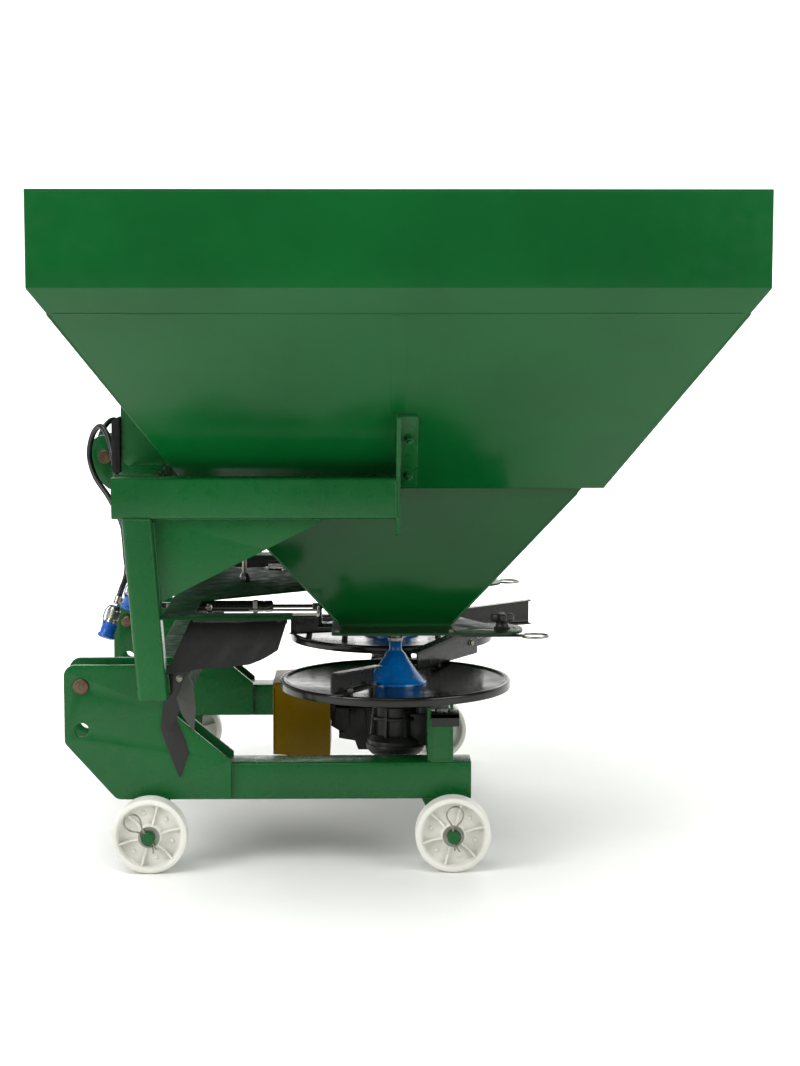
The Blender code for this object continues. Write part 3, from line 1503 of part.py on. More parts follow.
# ---------------------------------------------------------------- wheels


def make_wheel(place, name, side):
    """A nylon wheel, recessed on both faces, turned about its axle."""
    half = WHEEL_WIDTH / 2
    web = WHEEL_WEB / 2
    rim = WHEEL_RADIUS - WHEEL_RIM
    bore = AXLE_RADIUS + RUNNING_GAP
    front_face = [
        (bore, half),
        (WHEEL_HUB, half),
        (WHEEL_HUB + 0.002, web),
        (rim - 0.003, web),
        (rim, half),
        (WHEEL_RADIUS - 0.003, half),
        (WHEEL_RADIUS, half - 0.003),
    ]
    back_face = [(radius, -height) for radius, height in reversed(front_face)]
    centre = (WHEEL_X[place], side * (WHEEL_INNER_Y + half), WHEEL_RADIUS)
    turned(f"wheel_{place}_{name}", front_face + back_face, centre, (0, side, 0), "nylon", True, 24)


def make_axle(place, name, side):
    """A stub axle through its bracket, with a collar that spaces the wheel from the frame."""
    bracket_outer = RAIL_OUTER_Y - BRACKET_INSET
    bracket_inner = bracket_outer - AXLE_PLATE
    collar_end = WHEEL_INNER_Y - RUNNING_GAP
    collar_start = bracket_outer + GAP
    profile = [
        (0, WHEEL_OUTER_Y + AXLE_TAIL),
        (AXLE_RADIUS - 0.001, WHEEL_OUTER_Y + AXLE_TAIL),
        (AXLE_RADIUS, WHEEL_OUTER_Y + AXLE_TAIL - 0.001),
        (AXLE_RADIUS, collar_end),
        (AXLE_COLLAR, collar_end),
        (AXLE_COLLAR, collar_start),
        (AXLE_RADIUS, collar_start),
        (AXLE_RADIUS, bracket_inner - GAP),
        (AXLE_COLLAR, bracket_inner - GAP),
        (AXLE_COLLAR, bracket_inner - 0.008),
        (0, bracket_inner - 0.008),
    ]
    origin = (WHEEL_X[place], 0, WHEEL_RADIUS)
    turned(f"axle_{place}_{name}", profile, origin, (0, side, 0), "green", steps=16)


# ---------------------------------------------------------------- the whole machine

clear_scene()
PARTS = make_collection("fertiliser_spreader")
CUTTERS = make_collection("cutters")
MATERIALS = make_materials()

make_hopper()
make_rear_beam()
make_front_tube()
make_cross_bar()
make_top_pin()
make_guard()
make_centre_gearbox()
make_cross_shaft()
make_pto_shaft()
make_shield()
make_vanes()
for side_name, side_sign in SIDES.items():
    make_funnel(side_name, side_sign)
    make_outlet_plate(side_name, side_sign)
    make_shutter(side_name, side_sign)
    make_cylinder(side_name, side_sign)
    make_knob(side_name, side_sign)
    make_disc(side_name, side_sign)
    make_cone(side_name, side_sign)
    make_disc_shaft(side_name, side_sign)
    make_side_gearbox(side_name, side_sign)
    make_rail(side_name, side_sign)
    make_hitch_plates(side_name, side_sign)
    make_lower_pin(side_name, side_sign)
    make_post(side_name, side_sign)
    make_upper_bar(side_name, side_sign)
    make_flap(side_name, side_sign)
    make_side_flap(side_name, side_sign)
    make_hose(side_name, side_sign)
    for wheel_place in WHEEL_X:
        make_wheel(wheel_place, side_name, side_sign)
        make_axle(wheel_place, side_name, side_sign)
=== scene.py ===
import json
import math
import random

import bmesh
import bpy
from mathutils import Matrix, Vector

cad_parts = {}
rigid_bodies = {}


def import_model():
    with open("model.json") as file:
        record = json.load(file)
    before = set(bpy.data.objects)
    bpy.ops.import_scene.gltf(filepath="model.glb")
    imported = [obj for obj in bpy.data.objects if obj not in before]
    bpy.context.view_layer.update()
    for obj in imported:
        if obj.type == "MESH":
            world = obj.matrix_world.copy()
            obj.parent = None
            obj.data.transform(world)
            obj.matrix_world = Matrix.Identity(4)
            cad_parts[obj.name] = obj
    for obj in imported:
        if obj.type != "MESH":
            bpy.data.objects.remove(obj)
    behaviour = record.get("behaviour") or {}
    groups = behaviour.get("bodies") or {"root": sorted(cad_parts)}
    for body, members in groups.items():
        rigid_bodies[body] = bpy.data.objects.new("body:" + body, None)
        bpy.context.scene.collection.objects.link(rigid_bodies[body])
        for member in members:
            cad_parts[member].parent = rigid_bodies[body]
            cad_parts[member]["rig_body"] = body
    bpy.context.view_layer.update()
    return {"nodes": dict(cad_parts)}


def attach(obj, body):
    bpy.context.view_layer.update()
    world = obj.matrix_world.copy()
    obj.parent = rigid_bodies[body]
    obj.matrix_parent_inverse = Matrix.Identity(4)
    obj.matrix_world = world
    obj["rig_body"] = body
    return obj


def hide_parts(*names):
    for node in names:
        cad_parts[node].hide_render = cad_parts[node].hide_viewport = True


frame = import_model()
random.seed(7)
X, Y, Z = Vector((1, 0, 0)), Vector((0, 1, 0)), Vector((0, 0, 1))
SIDES = {"left": -1, "right": 1}

# Places that several pieces share, in metres, as in the frame.
DISC_Y = 0.320  # the upright shafts, either side of the middle
DRIVE_Z = 0.250  # the input shaft's axis
ROD_Y = 0.270
ROD_Z = 0.494
GUIDE_Z = 0.4955
FUNNEL_TOP = 0.7544

# ---------------------------------------------------------------- camera

camera_data = bpy.data.cameras.new("camera")
camera_data.lens = 74.3
camera_data.sensor_width = 36
camera_data.dof.use_dof = False
camera = bpy.data.objects.new("camera", camera_data)
camera.location = (-0.066, -4.80, 1.144)
camera.rotation_euler = (math.radians(83.73), 0, math.radians(-0.963))
bpy.context.scene.collection.objects.link(camera)
bpy.context.scene.camera = camera
bpy.context.scene.view_settings.view_transform = "Standard"


# ---------------------------------------------------------------- materials


def linear(colour):
    """Linear colour from sRGB numbers of 0 to 255."""
    done = [(c / 255 / 12.92 if c <= 10 else ((c / 255 + 0.055) / 1.055) ** 2.4) for c in colour]
    return (*done, 1)


class Shader:
    """A Principled material with a few linked helper nodes."""

    def __init__(self, name, rough, metallic=0.0, coat=0.0, specular=0.5):
        self.material = bpy.data.materials.new(name)
        self.material.use_nodes = True
        self.tree = self.material.node_tree
        self.bsdf = self.tree.nodes["Principled BSDF"]
        self.bsdf.inputs["Roughness"].default_value = rough
        self.bsdf.inputs["Metallic"].default_value = metallic
        self.bsdf.inputs["Specular IOR Level"].default_value = specular
        self.bsdf.inputs["Coat Weight"].default_value = coat
        self.bsdf.inputs["Coat Roughness"].default_value = 0.12
        self.place = self.tree.nodes.new("ShaderNodeTexCoord").outputs["Object"]
        self.height = None

    def noise(self, scale, detail=3.0, rough=0.55, stretch=None):
        node = self.tree.nodes.new("ShaderNodeTexNoise")
        node.inputs["Scale"].default_value = scale
        node.inputs["Detail"].default_value = detail
        node.inputs["Roughness"].default_value = rough
        source = self.place
        if stretch:
            mapping = self.tree.nodes.new("ShaderNodeMapping")
            mapping.inputs["Scale"].default_value = stretch
            self.tree.links.new(self.place, mapping.inputs["Vector"])
            source = mapping.outputs["Vector"]
        self.tree.links.new(source, node.inputs["Vector"])
        return node.outputs["Fac"]

    def cells(self, scale, feature="F1"):
        node = self.tree.nodes.new("ShaderNodeTexVoronoi")
        node.feature = feature
        node.inputs["Scale"].default_value = scale
        self.tree.links.new(self.place, node.inputs["Vector"])
        return node.outputs["Distance"]

    def ramp(self, value, *stops):
        node = self.tree.nodes.new("ShaderNodeValToRGB")
        elements = node.color_ramp.elements
        while len(elements) < len(stops):
            elements.new(0.5)
        for element, (place, shade) in zip(elements, stops):
            element.position = place
            element.color = shade if hasattr(shade, "__len__") else (shade, shade, shade, 1)
        self.tree.links.new(value, node.inputs["Fac"])
        return node.outputs["Color"]

    def mix(self, share, a, b, way="MIX"):
        node = self.tree.nodes.new("ShaderNodeMix")
        node.data_type = "RGBA"
        node.blend_type = way
        for value, socket in ((share, node.inputs[0]), (a, node.inputs[6]), (b, node.inputs[7])):
            if isinstance(value, bpy.types.NodeSocket):
                self.tree.links.new(value, socket)
            else:
                socket.default_value = value
        return node.outputs[2]

    def crevice(self, distance):
        node = self.tree.nodes.new("ShaderNodeAmbientOcclusion")
        node.samples = 6
        node.inputs["Distance"].default_value = distance
        return node.outputs["AO"]

    def colour(self, value):
        if isinstance(value, bpy.types.NodeSocket):
            self.tree.links.new(value, self.bsdf.inputs["Base Color"])
        else:
            self.bsdf.inputs["Base Color"].default_value = value

    def rough(self, value):
        self.tree.links.new(value, self.bsdf.inputs["Roughness"])

    def bump(self, value, strength, distance):
        node = self.tree.nodes.new("ShaderNodeBump")
        node.inputs["Strength"].default_value = strength
        node.inputs["Distance"].default_value = distance
        self.tree.links.new(value, node.inputs["Height"])
        if self.height:
            self.tree.links.new(self.height, node.inputs["Normal"])
        self.height = node.outputs["Normal"]
        self.tree.links.new(self.height, self.bsdf.inputs["Normal"])


def enamel(name, colour, dust_and_shade_colour, rough=0.26, coat=0.06, dust=0.25, peel=0.05, crease=None, shine=0.28):
    """Sprayed paint: soft patches, orange peel, a few fine specks, and corners drawn in the second colour:
    pale dust where it is lighter, painted shade where it is darker.
    """
    s = Shader(name, rough, coat=coat, specular=shine)
    deep = [c * 0.86 for c in colour[:3]] + [1]
    light = [min(1, c * 1.12) for c in colour[:3]] + [1]
    patches = s.mix(s.ramp(s.noise(3.5, 4), (0.30, 0), (0.70, 1)), deep, light)
    specks = s.ramp(s.cells(310), (0.0, 0.75), (0.10, 0))
    freckled = s.mix(specks, patches, s.mix(0.08, colour, dust_and_shade_colour))
    # Corners found by ambient occlusion take the second colour: pale dust on the greens, black and vane
    # paint, painted shade on the weld, yellow and grey strip.
    corner = s.ramp(s.crevice(0.020), (0.35, dust), (0.85, 0))
    s.colour(s.mix(corner, freckled, crease or dust_and_shade_colour))
    s.rough(s.ramp(s.noise(38, 5), (0.30, rough * 0.80), (0.72, min(1, rough * 1.55))))
    s.bump(s.noise(420, 2), peel, 0.0006)
    s.bump(s.noise(6, 2), 0.16, 0.0020)
    return s.material


def bare_metal(name, colour, rough, stain, share=0.4, stretch=(1, 1, 9), scale=60):
    s = Shader(name, rough, metallic=1)
    grain = s.noise(scale, 4, 0.6, stretch)
    base = s.mix(s.ramp(grain, (0.3, 0), (0.7, 1)), [c * 0.72 for c in colour[:3]] + [1], colour)
    spots = s.ramp(s.noise(45, 6, 0.7), (0.45, 0), (0.68, share))
    s.colour(s.mix(spots, base, stain))
    s.rough(s.ramp(grain, (0.2, rough * 0.8), (0.8, min(1, rough * 1.5))))
    s.bump(grain, 0.12, 0.0004)
    return s.material


def casting(name, colour):
    """Black paint over a sand casting."""
    s = Shader(name, 0.42, coat=0.05, specular=0.35)
    s.colour(s.mix(s.ramp(s.noise(26, 5), (0.35, 0), (0.75, 1)), colour,
                   [c * 2.6 + 0.004 for c in colour[:3]] + [1]))
    s.rough(s.ramp(s.noise(70, 4), (0.3, 0.30), (0.7, 0.58)))
    s.bump(s.noise(190, 5, 0.7), 0.45, 0.0012)
    return s.material


def moulded(name, colour, rough, bump=0.08, scuff=0.12, coat=0.0, soil_and_shade=None):
    s = Shader(name, rough, coat=coat, specular=0.3)
    shade = s.mix(s.ramp(s.noise(7, 3), (0.3, 0), (0.7, 1)), [c * 0.88 for c in colour[:3]] + [1], colour)
    marks = s.ramp(s.noise(90, 6, 0.75), (0.58, 0), (0.74, scuff))
    shade = s.mix(marks, shade, soil_and_shade or [min(1, c * 1.6 + 0.02) for c in colour[:3]] + [1])
    # Corners found by ambient occlusion are darkened to half the colour, a painted shade; a given soil colour
    # replaces that, pale soil on the rubber, painted shade on the nylon.
    corner = s.ramp(s.crevice(0.012), (0.3, 0.45), (0.85, 0))
    s.colour(s.mix(corner, shade, soil_and_shade or [c * 0.5 for c in colour[:3]] + [1]))
    s.rough(s.ramp(s.noise(60, 4), (0.3, rough * 0.85), (0.7, min(1, rough * 1.3))))
    s.bump(s.noise(240, 3), bump, 0.0006)
    return s.material


PALE_DUST = linear((150, 160, 138))
MATERIALS = {
    "green": enamel("paint_green", linear((4, 77, 30)), PALE_DUST, rough=0.16, dust=0.04),
    # The funnels' green is the hopper's paint drawn darker, a painted shade for their downward-facing walls.
    "green_funnel_shade": enamel("paint_green_shaded_funnel", linear((2, 66, 23)), PALE_DUST, rough=0.16, dust=0.03),
    "green_frame": enamel("paint_green_frame", linear((7, 79, 32)), PALE_DUST, rough=0.26, dust=0.05),
    "green_plate": enamel("paint_green_plate", linear((20, 44, 22)), PALE_DUST,
                          rough=0.34, dust=0.1, shine=0.2),
    # Inner frame green: the frame paint drawn darker and nearly without gloss, a painted shade for parts
    # lying in shadow under the hopper.
    "green_inner_shade": enamel("paint_green_shaded_inner", linear((4, 52, 20)), PALE_DUST, rough=0.55,
                         coat=0.0, dust=0.03, shine=0.08),
    "weld": enamel("paint_weld", linear((8, 80, 33)), linear((20, 60, 30)), rough=0.33, peel=0.3),
    "black": enamel("paint_black", linear((11, 11, 10)), linear((90, 88, 80)), rough=0.16,
                    coat=0.06, dust=0.06, shine=0.36),
    "vane": enamel("paint_vane", linear((22, 22, 20)), linear((90, 88, 80)), rough=0.22,
                   coat=0.05, dust=0.08, shine=0.36),
    "cast": casting("cast_black", linear((20, 20, 19))),
    "rubber": moulded("rubber_black", linear((17, 17, 16)), 0.55, 0.30, 0.12, soil_and_shade=linear((60, 62, 58))),
    "hose": moulded("hose_black", linear((18, 18, 18)), 0.34, 0.05, 0.12, coat=0.2),
    "yellow": enamel("paint_yellow", linear((126, 98, 0)), linear((60, 46, 4)),
                     rough=0.28, dust=0.05, shine=0.1),
    "blue": moulded("plastic_blue", linear((0, 100, 172)), 0.25, 0.04, 0.06, coat=0.5),
    "cap": moulded("plastic_cap_blue", linear((12, 84, 170)), 0.33, 0.05, 0.08, coat=0.2),
    "nylon": moulded("nylon_white", linear((220, 219, 211)), 0.42, 0.08, 0.16, soil_and_shade=linear((172, 172, 160))),
    "steel": bare_metal("steel_bright", linear((176, 174, 166)), 0.26, linear((90, 84, 72))),
    "zinc": bare_metal("steel_zinc", linear((158, 160, 150)), 0.34, linear((110, 100, 78)), 0.5, (1, 1, 1)),
    "worn": bare_metal("steel_browned", linear((112, 94, 78)), 0.38, linear((74, 50, 34)), 0.75, (1, 1, 1)),
    "mark": moulded("mark_pale", linear((196, 204, 186)), 0.5, 0.02, 0.1),
    # Grey strip: the dark glossy sheet drawn lighter grey, a painted reflection, with painted shade darkening
    # its corners.
    "strip": enamel("strip_grey", linear((50, 52, 46)), linear((30, 34, 28)),
                    rough=0.16, coat=0.05, shine=0.4),
    "pad": moulded("pad_black", linear((20, 20, 19)), 0.75, 0.5, 0.1),
}


# ---------------------------------------------------------------- building pieces


def piece(name, parts, material, body, smooth=35, bevel=0.0, cut_angle=40):
    """One mesh from (vertices, faces) parts, with rounded edges where asked, riding on a body."""
    shape = bmesh.new()
    for points, faces in parts:
        made = [shape.verts.new(point) for point in points]
        for face in faces:
            shape.faces.new([made[i] for i in face])
    bmesh.ops.recalc_face_normals(shape, faces=shape.faces)
    if bevel:
        round_edges(shape, bevel, cut_angle)
    mesh = bpy.data.meshes.new(name)
    shape.to_mesh(mesh)
    shape.free()
    return show(name, mesh, material, body, smooth)


def round_edges(shape, width, cut_angle, segments=2):
    sharp = [
        edge for edge in shape.edges
        if len(edge.link_faces) == 2 and edge.calc_face_angle(0) > math.radians(cut_angle)
    ]
    bmesh.ops.bevel(
        shape, geom=sharp, offset=width, offset_type="OFFSET", segments=segments,
        profile=0.6, affect="EDGES", clamp_overlap=True,
    )


def show(name, mesh, material, body, smooth=35):
    mesh.shade_smooth()
    mesh.set_sharp_from_angle(angle=math.radians(smooth))
    mesh.materials.clear()
    mesh.materials.append(MATERIALS[material])
    made = bpy.data.objects.new(name, mesh)
    bpy.context.scene.collection.objects.link(made)
    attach(made, body)
    return made


def basis(axis):
    axis = Vector(axis).normalized()
    side = axis.orthogonal().normalized()
    if abs(axis.z) < 0.9:
        side = Z.cross(axis).normalized()
    return side, axis.cross(side), axis


def turned(profile, centre, axis, steps=48, closed=False, turn=0.0):
    """A turned shape: the profile's (radius, height) points about an axis."""
    side, other, axis = basis(axis)
    points, rings, faces = [], [], []
    for radius, height in profile:
        middle = Vector(centre) + axis * height
        if radius < 1e-7:
            rings.append([len(points)] * steps)
            points.append(middle)
            continue
        rings.append(list(range(len(points), len(points) + steps)))
        for i in range(steps):
            angle = turn + math.tau * i / steps
            points.append(middle + radius * (math.cos(angle) * side + math.sin(angle) * other))
    pairs = list(zip(rings, rings[1:]))
    if closed:
        pairs.append((rings[-1], rings[0]))
    for a, b in pairs:
        for i in range(steps):
            k = (i + 1) % steps
            loop = list(dict.fromkeys((a[i], a[k], b[k], b[i])))
            if len(loop) > 2:
                faces.append(loop)
    if not closed:
        for ring in (rings[0], rings[-1]):
            if len(set(ring)) > 2:
                faces.append(list(ring))
    return points, faces


def swept(path, radii, steps=12):
    """A round tube along points; radii is one number or one for each point."""
    path = [Vector(p) for p in path]
    if not hasattr(radii, "__len__"):
        radii = [radii] * len(path)
    points, faces = [], []
    side = None
    for i, p in enumerate(path):
        way = (path[min(i + 1, len(path) - 1)] - path[max(i - 1, 0)]).normalized()
        side = way.orthogonal() if side is None else side - way * side.dot(way)
        side.normalize()
        other = way.cross(side)
        for k in range(steps):
            angle = math.tau * k / steps
            points.append(p + radii[i] * (math.cos(angle) * side + math.sin(angle) * other))
    for i in range(len(path) - 1):
        for k in range(steps):
            m = (k + 1) % steps
            faces.append([i * steps + k, i * steps + m, (i + 1) * steps + m, (i + 1) * steps + k])
    faces.append(list(range(steps)))
    faces.append(list(range((len(path) - 1) * steps, len(path) * steps)))
    return points, faces


def slab(outline, low, high, place=Matrix.Identity(4)):
    """A flat outline between two heights along its own Z, put in place by a matrix."""
    count = len(outline)
    points = [place @ Vector((u, v, w)) for w in (low, high) for u, v in outline]
    faces = [[i, (i + 1) % count, count + (i + 1) % count, count + i] for i in range(count)]
    faces.append(list(range(count)))
    faces.append(list(range(count, 2 * count)))
    return points, faces


def block(low, high):
    x, y, z = zip(low, high)
    return slab([(x[0], y[0]), (x[1], y[0]), (x[1], y[1]), (x[0], y[1])], z[0], z[1])


def smooth_path(points, spacing=0.006):
    """Points at an even spacing along a smooth curve through the given ones."""
    nodes = [Vector(p) for p in points]
    nodes = [2 * nodes[0] - nodes[1], *nodes, 2 * nodes[-1] - nodes[-2]]
    fine = []
    for a, b, c, d in zip(nodes, nodes[1:], nodes[2:], nodes[3:]):
        for step in range(24):
            t = step / 24
            fine.append(0.5 * (2 * b + (c - a) * t + (2 * a - 5 * b + 4 * c - d) * t ** 2
                               + (3 * b - a - 3 * c + d) * t ** 3))
    fine.append(nodes[-2])
    lengths = [0.0]
    for a, b in zip(fine, fine[1:]):
        lengths.append(lengths[-1] + (b - a).length)
    count = max(2, round(lengths[-1] / spacing))
    route, i = [], 0
    for k in range(count + 1):
        target = lengths[-1] * k / count
        while i < len(fine) - 2 and lengths[i + 1] < target:
            i += 1
        share = (target - lengths[i]) / max(lengths[i + 1] - lengths[i], 1e-9)
        route.append(fine[i].lerp(fine[i + 1], min(share, 1.0)))
    return route


def bead(start, end, radius=0.0035):
    """A weld bead: overlapping ripples laid along a seam."""
    start, end = Vector(start), Vector(end)
    count = max(3, round((end - start).length / (radius * 0.55)))
    path, radii = [], []
    for i in range(count + 1):
        t = i / count
        path.append(start.lerp(end, t) + Vector([random.uniform(-0.06, 0.06) * radius for _ in range(3)]))
        radii.append(radius * (0.92 + 0.16 * (i % 2) + random.uniform(-0.05, 0.05)))
    radii[0] = radii[-1] = radius * 0.5
    return swept(path, radii, 8)


def beads(name, runs, body="frame", radius=0.0035):
    return piece(name, [bead(a, b, radius) for a, b in runs], "weld", body, smooth=70)


def bolt(centre, axis, size=0.008, washer=True, turn=0.3, height=0.62):
    """A hex head on a washer, standing on centre; size is the shank's diameter."""
    flat = size * 0.92
    tall = size * height
    start = 0.0
    parts = []
    if washer:
        start = size * 0.16
        rim = size * 1.12
        parts.append(turned([(0, 0), (rim - 0.0004, 0), (rim, 0.0004), (rim, start - 0.0003),
                             (rim - 0.0003, start), (0, start)], centre, axis, 28))
    head = [(0, start), (flat, start), (flat, start + tall * 0.84), (flat * 0.86, start + tall),
            (flat * 0.55, start + tall), (flat * 0.50, start + tall * 0.93), (0, start + tall * 0.93)]
    parts.append(turned(head, centre, axis, 6, turn=turn))
    return parts


def nut_end(centre, axis, size=0.008):
    """A nut on a washer with the bolt's end standing out of it."""
    parts = bolt(centre, axis, size, turn=0.9, height=0.8)
    tip = size * 1.35
    thread = [(0, 0)]
    for i in range(9):
        thread.append((size * (0.50 if i % 2 else 0.455), tip * i / 8))
    thread += [(size * 0.38, tip + size * 0.08), (0, tip + size * 0.08)]
    parts.append(turned(thread, centre, axis, 20))
    return parts


def copy_node(node, material, width=0.0015, smooth=35, cut_angle=35, name=None):
    """The CAD node with clean faces and rounded edges, standing for the node."""
    source = frame["nodes"][node]
    shape = bmesh.new()
    shape.from_mesh(source.data)
    bmesh.ops.remove_doubles(shape, verts=shape.verts, dist=1e-5)
    bmesh.ops.dissolve_limit(
        shape, angle_limit=math.radians(0.6), verts=shape.verts, edges=shape.edges
    )
    bmesh.ops.recalc_face_normals(shape, faces=shape.faces)
    if width:
        round_edges(shape, width, cut_angle)
    mesh = bpy.data.meshes.new(name or f"{node}_skin")
    shape.to_mesh(mesh)
    shape.free()
    made = show(name or f"{node}_skin", mesh, material, source["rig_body"], smooth)
    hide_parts(node)
    return made


# ---------------------------------------------------------------- hoses and couplers

HOSE_RADIUS = 0.006
HOSE_ROUTE = [
    (-0.4405, 0.270, 0.494),
    (-0.4650, 0.270, 0.494),
    (-0.5000, 0.268, 0.500),
    (-0.5350, 0.262, 0.525),
    (-0.5560, 0.250, 0.570),
    (-0.5640, 0.232, 0.630),
    (-0.5720, 0.206, 0.690),
    (-0.5830, 0.186, 0.745),
    (-0.5910, 0.172, 0.792),
    (-0.6030, 0.152, 0.836),
    (-0.6230, 0.124, 0.859),
    (-0.6430, 0.096, 0.840),
    (-0.6530, 0.082, 0.796),
    (-0.6400, 0.092, 0.750),
    (-0.6080, 0.112, 0.705),
    (-0.5800, 0.138, 0.655),
    (-0.5670, 0.162, 0.600),
    (-0.5665, 0.182, 0.550),
    (-0.5755, 0.196, 0.520),
    (-0.5845, 0.204, 0.492),
]


def make_hose(name, side):
    points = smooth_path([(x, side * y, z) for x, y, z in HOSE_ROUTE])
    curve = bpy.data.curves.new(f"hose_line_{name}", "CURVE")
    curve.dimensions = "3D"
    line = curve.splines.new("POLY")
    line.points.add(len(points) - 1)
    for target, point in zip(line.points, points):
        target.co = (*point, 1)
    curve.bevel_depth = HOSE_RADIUS
    curve.bevel_resolution = 5
    curve.use_fill_caps = True
    curve.materials.append(MATERIALS["hose"])
    hose = bpy.data.objects.new(f"hose_tube_{name}", curve)
    bpy.context.scene.collection.objects.link(hose)
    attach(hose, "frame")
    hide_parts(f"hose_{name}")
    ends = make_hose_ends(name, points)


def make_hose_ends(name, points):
    """Pressed ferrules, the quick coupler, its cap with a strap, and the swivel nut at the cylinder."""
    start, end = points[0], points[-1]
    inward = (points[1] - points[0]).normalized()
    way = (points[-1] - points[-2]).normalized()
    body = [(0, -0.014), (0.0078, -0.014), (0.0082, -0.011), (0.0076, -0.009), (0.0082, -0.007),
            (0.0076, -0.005), (0.0084, -0.002), (0.0084, 0.001), (0.0064, 0.003), (0.0064, 0.007)]
    knurl = [(0.0110, 0.011), (0.0132, 0.014), (0.0145, 0.018)]
    for i in range(8):
        knurl += [(0.0145, 0.0200 + 0.0018 * i), (0.0140, 0.0209 + 0.0018 * i)]
    knurl += [(0.0145, 0.0350), (0.0128, 0.0365), (0.0128, 0.0395), (0.0145, 0.0415),
              (0.0145, 0.0445), (0, 0.0445)]
    coupler = piece(
        f"quick_coupler_{name}",
        [turned(body + knurl, end, way, 36),
         turned([(0, 0.003), (0.0095, 0.003), (0.0095, 0.0100), (0, 0.0100)], end, way, 6)],
        "steel", "frame", smooth=40,
    )
    cap_profile = [(0, 0.0450), (0.0160, 0.0450), (0.0168, 0.0465), (0.0168, 0.0500), (0.0155, 0.0515)]
    cap_profile += [(0.0155, 0.0680), (0.0180, 0.0695), (0.0185, 0.0735), (0.0175, 0.0765),
                    (0.0120, 0.0785), (0, 0.0785)]
    side_way, other_way, _ = basis(way)
    strap = [end + way * d + side_way * r for d, r in
             ((0.0480, 0.0165), (0.0430, 0.0215), (0.0330, 0.0235), (0.0200, 0.0225),
              (0.0120, 0.0180), (0.0085, 0.0098))]
    ring = [end + way * 0.0085 + 0.0102 * (math.cos(a) * side_way + math.sin(a) * other_way)
            for a in [math.tau * i / 24 for i in range(25)]]
    cap = piece(
        f"dust_cap_{name}",
        [turned(cap_profile, end, way, 36), swept(smooth_path(strap, 0.003), 0.0014, 8),
         swept(ring, 0.0012, 8)],
        "cap", "frame", smooth=45,
    )
    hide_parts(f"coupler_{name}")
    swivel = piece(
        f"hose_swivel_{name}",
        [
            turned([(0, -0.0004), (0.0098, -0.0004), (0.0098, 0.0110), (0.0086, 0.0122),
                    (0, 0.0122)], start, inward, 6),
            turned([(0, 0.010), (0.0070, 0.010), (0.0070, 0.014), (0.0086, 0.016), (0.0080, 0.020),
                    (0.0086, 0.023), (0.0080, 0.026), (0.0086, 0.029), (0.0080, 0.034),
                    (0, 0.034)], start, inward, 28),
        ],
        "zinc", "frame", smooth=40,
    )
    return [coupler, cap, swivel]


for side_name, side_sign in SIDES.items():
    make_hose(side_name, side_sign)

# ---------------------------------------------------------------- hopper

HALF_LENGTH = 0.667
HALF_WIDTH = 0.850
RIM_TOP = 1.325
SLOPE_TOP = 1.104
FLOOR_Z = 0.7547


def wall_x(z):
    return 0.4123 + (z - FLOOR_Z) / (SLOPE_TOP - FLOOR_Z) * 0.2227


def wall_y(z):
    return 0.450 + (z - FLOOR_Z) / (SLOPE_TOP - FLOOR_Z) * 0.368


def ring_path(x, y, z, corner=0.012):
    points = []
    for sx, sy, start in ((1, 1, 0), (-1, 1, 90), (-1, -1, 180), (1, -1, 270)):
        for k in range(5):
            angle = math.radians(start + 22.5 * k)
            points.append(Vector((sx * (x - corner) + corner * math.cos(angle),
                                  sy * (y - corner) + corner * math.sin(angle), z)))
    points.append(points[0])
    return points


def make_hopper():
    copy_node("hopper", "green", 0.0018)
    rim = ring_path(HALF_LENGTH - 0.0030, HALF_WIDTH - 0.0030, RIM_TOP - 0.0036)
    fold = ring_path(wall_x(SLOPE_TOP) - 0.0008, wall_y(SLOPE_TOP) - 0.0008, SLOPE_TOP)
    piece("hopper_fold", [swept(fold, 0.0018, 10)], "green", "frame", smooth=60)
    piece("hopper_rim_edge", [swept(rim, 0.0034, 12)], "green", "frame", smooth=60)
    runs = []
    for sx in (1, -1):
        for sy in (1, -1):
            foot = Vector((sx * (wall_x(FLOOR_Z) - 0.001), sy * (wall_y(FLOOR_Z) - 0.001), FLOOR_Z + 0.003))
            knee = Vector((sx * (wall_x(SLOPE_TOP) - 0.001), sy * (wall_y(SLOPE_TOP) - 0.001), SLOPE_TOP))
            runs.append(bead(foot, knee, 0.0026))
    piece("hopper_corner_welds", runs, "weld", "frame", smooth=70)
    laps = []
    for side in SIDES.values():
        low, high = 0.915, SLOPE_TOP - 0.004
        points = [(-0.014, side * (wall_y(low) + 0.0008), low), (0.014, side * (wall_y(low) + 0.0008), low),
                  (0.014, side * (wall_y(high) + 0.0008), high),
                  (-0.014, side * (wall_y(high) + 0.0008), high)]
        inner = [(x, y - side * 0.003, z) for x, y, z in points]
        laps.append(([*points, *inner], [[0, 1, 2, 3], [4, 5, 6, 7], [0, 1, 5, 4], [1, 2, 6, 5],
                                         [2, 3, 7, 6], [3, 0, 4, 7]]))
    piece("hopper_lap_strips", laps, "green", "frame", bevel=0.0008)
    lip = []
    for sx in (1, -1):
        lip.append(block((sx * 0.4123 - 0.0022, -0.449, FLOOR_Z),
                         (sx * 0.4123 + 0.0022, 0.449, FLOOR_Z + 0.014)))
    piece("hopper_floor_folds", lip, "green", "frame", bevel=0.0014)


